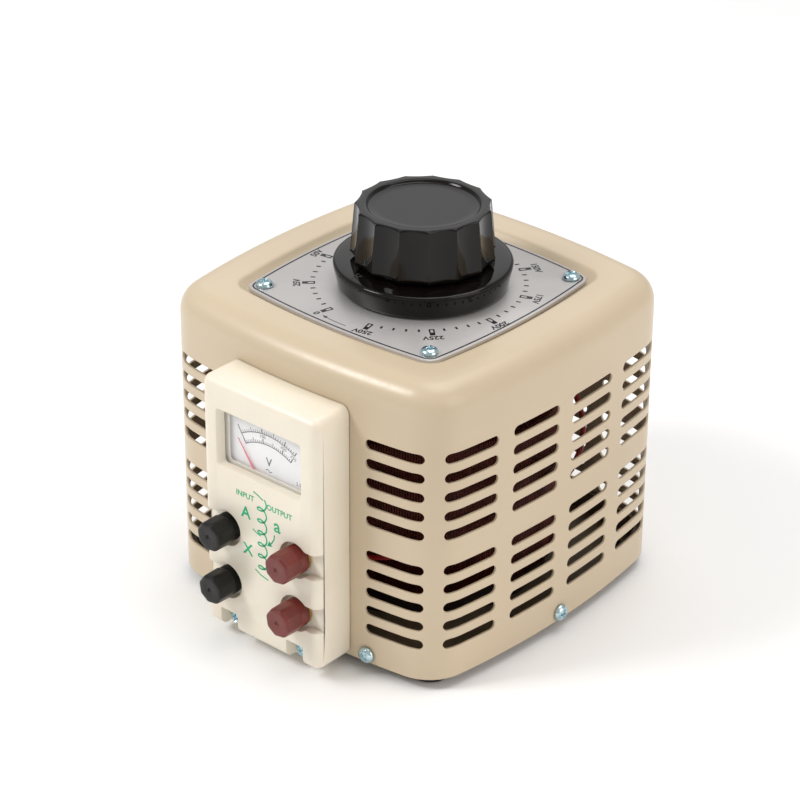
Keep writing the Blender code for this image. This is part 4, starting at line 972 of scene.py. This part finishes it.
# %% [markdown]
# ## The coil and what stands round it
# Through the slots the winding shows as fine upright wires, reddish under their enamel.
# Modelling every wire would cost a lot for a little, so the winding is one skin whose
# radius ripples once per turn.

# %% Enamelled copper
# Copper under amber polyurethane enamel is red and glossy along a wire; its colours here are also
# darkened to its look in the case's shade, which is painted shade.
copper_and_painted_shade = surface("enamelled_copper_wire_with_painted_shade", "#3A120A", "#5A1E10", (0.22, 0.34), 3, 0.5, 0.002,
                 Metallic=0.6)
winding_low, winding_high = span("winding")
COIL_OUTER, COIL_INNER, TURNS = 50.0, 25.0, 330
first_angle = 75 + (360 - 331.7) / 2 + (360 - 344) / 2
coil_profile = []
r0, r1, z0, z1 = COIL_INNER + 0.3, COIL_OUTER - 0.3, winding_low.z + 0.3, winding_high.z - 0.3
for cr, cz, start in ((r1, z0, -90), (r1, z1, 0), (r0, z1, 90), (r0, z0, 180)):
    inset_r = -2.2 if cr == r1 else 2.2
    inset_z = 2.2 if cz == z0 else -2.2
    for i in range(5):
        angle = math.radians(start + 22.5 * i)
        coil_profile.append((cr + inset_r + 2.2 * math.cos(angle),
                             cz + inset_z + 2.2 * math.sin(angle), math.cos(angle),
                             math.sin(angle)))
sections = []
PER_TURN = 6
for i in range(TURNS * PER_TURN + 1):
    angle = math.radians(first_angle + 344 * i / (TURNS * PER_TURN))
    swell = 0.3 * abs(math.sin(math.pi * i / PER_TURN))
    sections.append([(turn_x + (r + swell * nr) * math.cos(angle),
                      turn_y + (r + swell * nr) * math.sin(angle), z + swell * nz)
                     for r, z, nr, nz in coil_profile])
winding = piece("winding_turns", loft(sections), copper_and_painted_shade, "chassis", ["winding"], sharp=80)

# %% Finishes of the inner pieces, the base and the feet
# Each is named for what it is made of: pressed steel, moulded resin, cast zinc alloy,
# turned brass, pressed carbon, rubber and wire insulation.
base_paint = surface("brown_primed_steel", "#6E5F4A", "#7B6B55", (0.45, 0.6), 25, 1.2, 0.004)
resin = surface("brown_moulded_resin", "#1D1410", "#2A1D17", (0.4, 0.55), 8, 0.6, 0.004)
alloy = surface("die_cast_alloy", "#8F9194", "#A3A5A8", (0.35, 0.5), 6, 0.7, 0.006, Metallic=1.0)
brass = surface("turned_brass", "#B8924A", "#CDA860", (0.2, 0.32), 4, 0.3, 0.002,
                stretch=(1, 1, 6), Metallic=1.0)
steel = surface("turned_bright_steel", "#9A9B9E", "#B4B5B8", (0.2, 0.32), 5, 0.3, 0.002,
                stretch=(1, 1, 6), Metallic=1.0)
strip = surface("wound_silicon_steel", "#4B4C50", "#5B5C61", (0.4, 0.5), 5, 0.35, 0.004,
                Metallic=1.0)
carbon = surface("pressed_carbon", "#17171A", "#26262A", (0.5, 0.65), 2, 0.3, 0.004)
rubber = surface("moulded_black_rubber", "#121212", "#1C1C1C", (0.65, 0.8), 6, 0.5, 0.006)
lead_black = surface("black_pvc_insulation", "#111111", "#1B1B1B", (0.35, 0.45), 4, 0.6, 0.003)
lead_red = surface("red_pvc_insulation", "#9C1D1D", "#AE2626", (0.35, 0.45), 4, 0.6, 0.003)
post_names = list(posts)
finish_nodes(base_paint, "base_plate")
finish_nodes(resin, "coil_seat", "coil_clamp")
finish_nodes(alloy, "brush_arm")
finish_nodes(brass, "lower_bush", "upper_bush", "collector_strip", "brush_holder",
             *[f"post_{kind}_{name}" for kind in ("stud", "nut", "insert") for name in post_names])
finish_nodes(steel, "shaft", "meter_movement")
finish_nodes(strip, "core")
finish_nodes(carbon, "carbon_brush")
finish_nodes(zinc, "clamp_screw_1", "clamp_screw_2", "clamp_screw_3", "stop_pin", "knob_screw")
finish_nodes(lead_black, "input_lead")
finish_nodes(lead_red, "output_lead")

# %% [markdown]
# ## The brush spring
# The spring stands between the brush and the arm, so in use its foot rises with the brush while
# its head stays. Here it is one wound mesh at its imported place, fixed to neither body.

# %% Wound spring
spring_low, spring_high = span("brush_spring")
WIRE, WIRE_SIDES, COILS, SPRING_STEPS = 0.35, 8, 4, 24
coil_x, coil_y = (spring_low.x + spring_high.x) / 2, (spring_low.y + spring_high.y) / 2
coil_radius = (spring_high.x - spring_low.x) / 2 - WIRE
rise = (spring_high.z - spring_low.z - 2 * WIRE) / (COILS * SPRING_STEPS)
wound = []
for i in range(COILS * SPRING_STEPS + 1):
    turn = 2 * math.pi * i / SPRING_STEPS
    ring = []
    for step in range(WIRE_SIDES):
        round_wire = 2 * math.pi * step / WIRE_SIDES
        out = coil_radius + WIRE * math.cos(round_wire)
        ring.append((coil_x + out * math.cos(turn), coil_y + out * math.sin(turn),
                     spring_low.z + WIRE + rise * i + WIRE * math.sin(round_wire)))
    wound.append(ring)
closing = [[sum((Vector(p) for p in wound[i]), Vector()) / WIRE_SIDES] * WIRE_SIDES for i in (0, -1)]
wound = [closing[0], *wound, closing[1]]
spring = bpy.data.objects.new("wound_spring", mesh_of("wound_spring", loft(wound), 50))
bpy.context.scene.collection.objects.link(spring)
spring.data.materials.append(steel)
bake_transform(spring)
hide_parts("brush_spring")
print("wound_spring", len(spring.data.polygons), "faces")

# %% Feet
for index in range(1, 5):
    low, high = span(f"foot_{index}")
    profile = [(0, 0), (5.9, 0), (6.5, 0.12), (6.9, 0.5), (7.0, 1.0), (7.0, 4.1), (2.4, 4.1),
               (2.4, 6.2), (3.4, 6.2), (3.0, 7.6), (2.4, high.z), (0, high.z)]
    place = ((low.x + high.x) / 2, (low.y + high.y) / 2, 0)
    foot = piece(f"rubber_foot_{index}", placed(lathe(profile, 40), Matrix.Identity(3), place),
                 rubber, "chassis", [f"foot_{index}"], sharp=35)
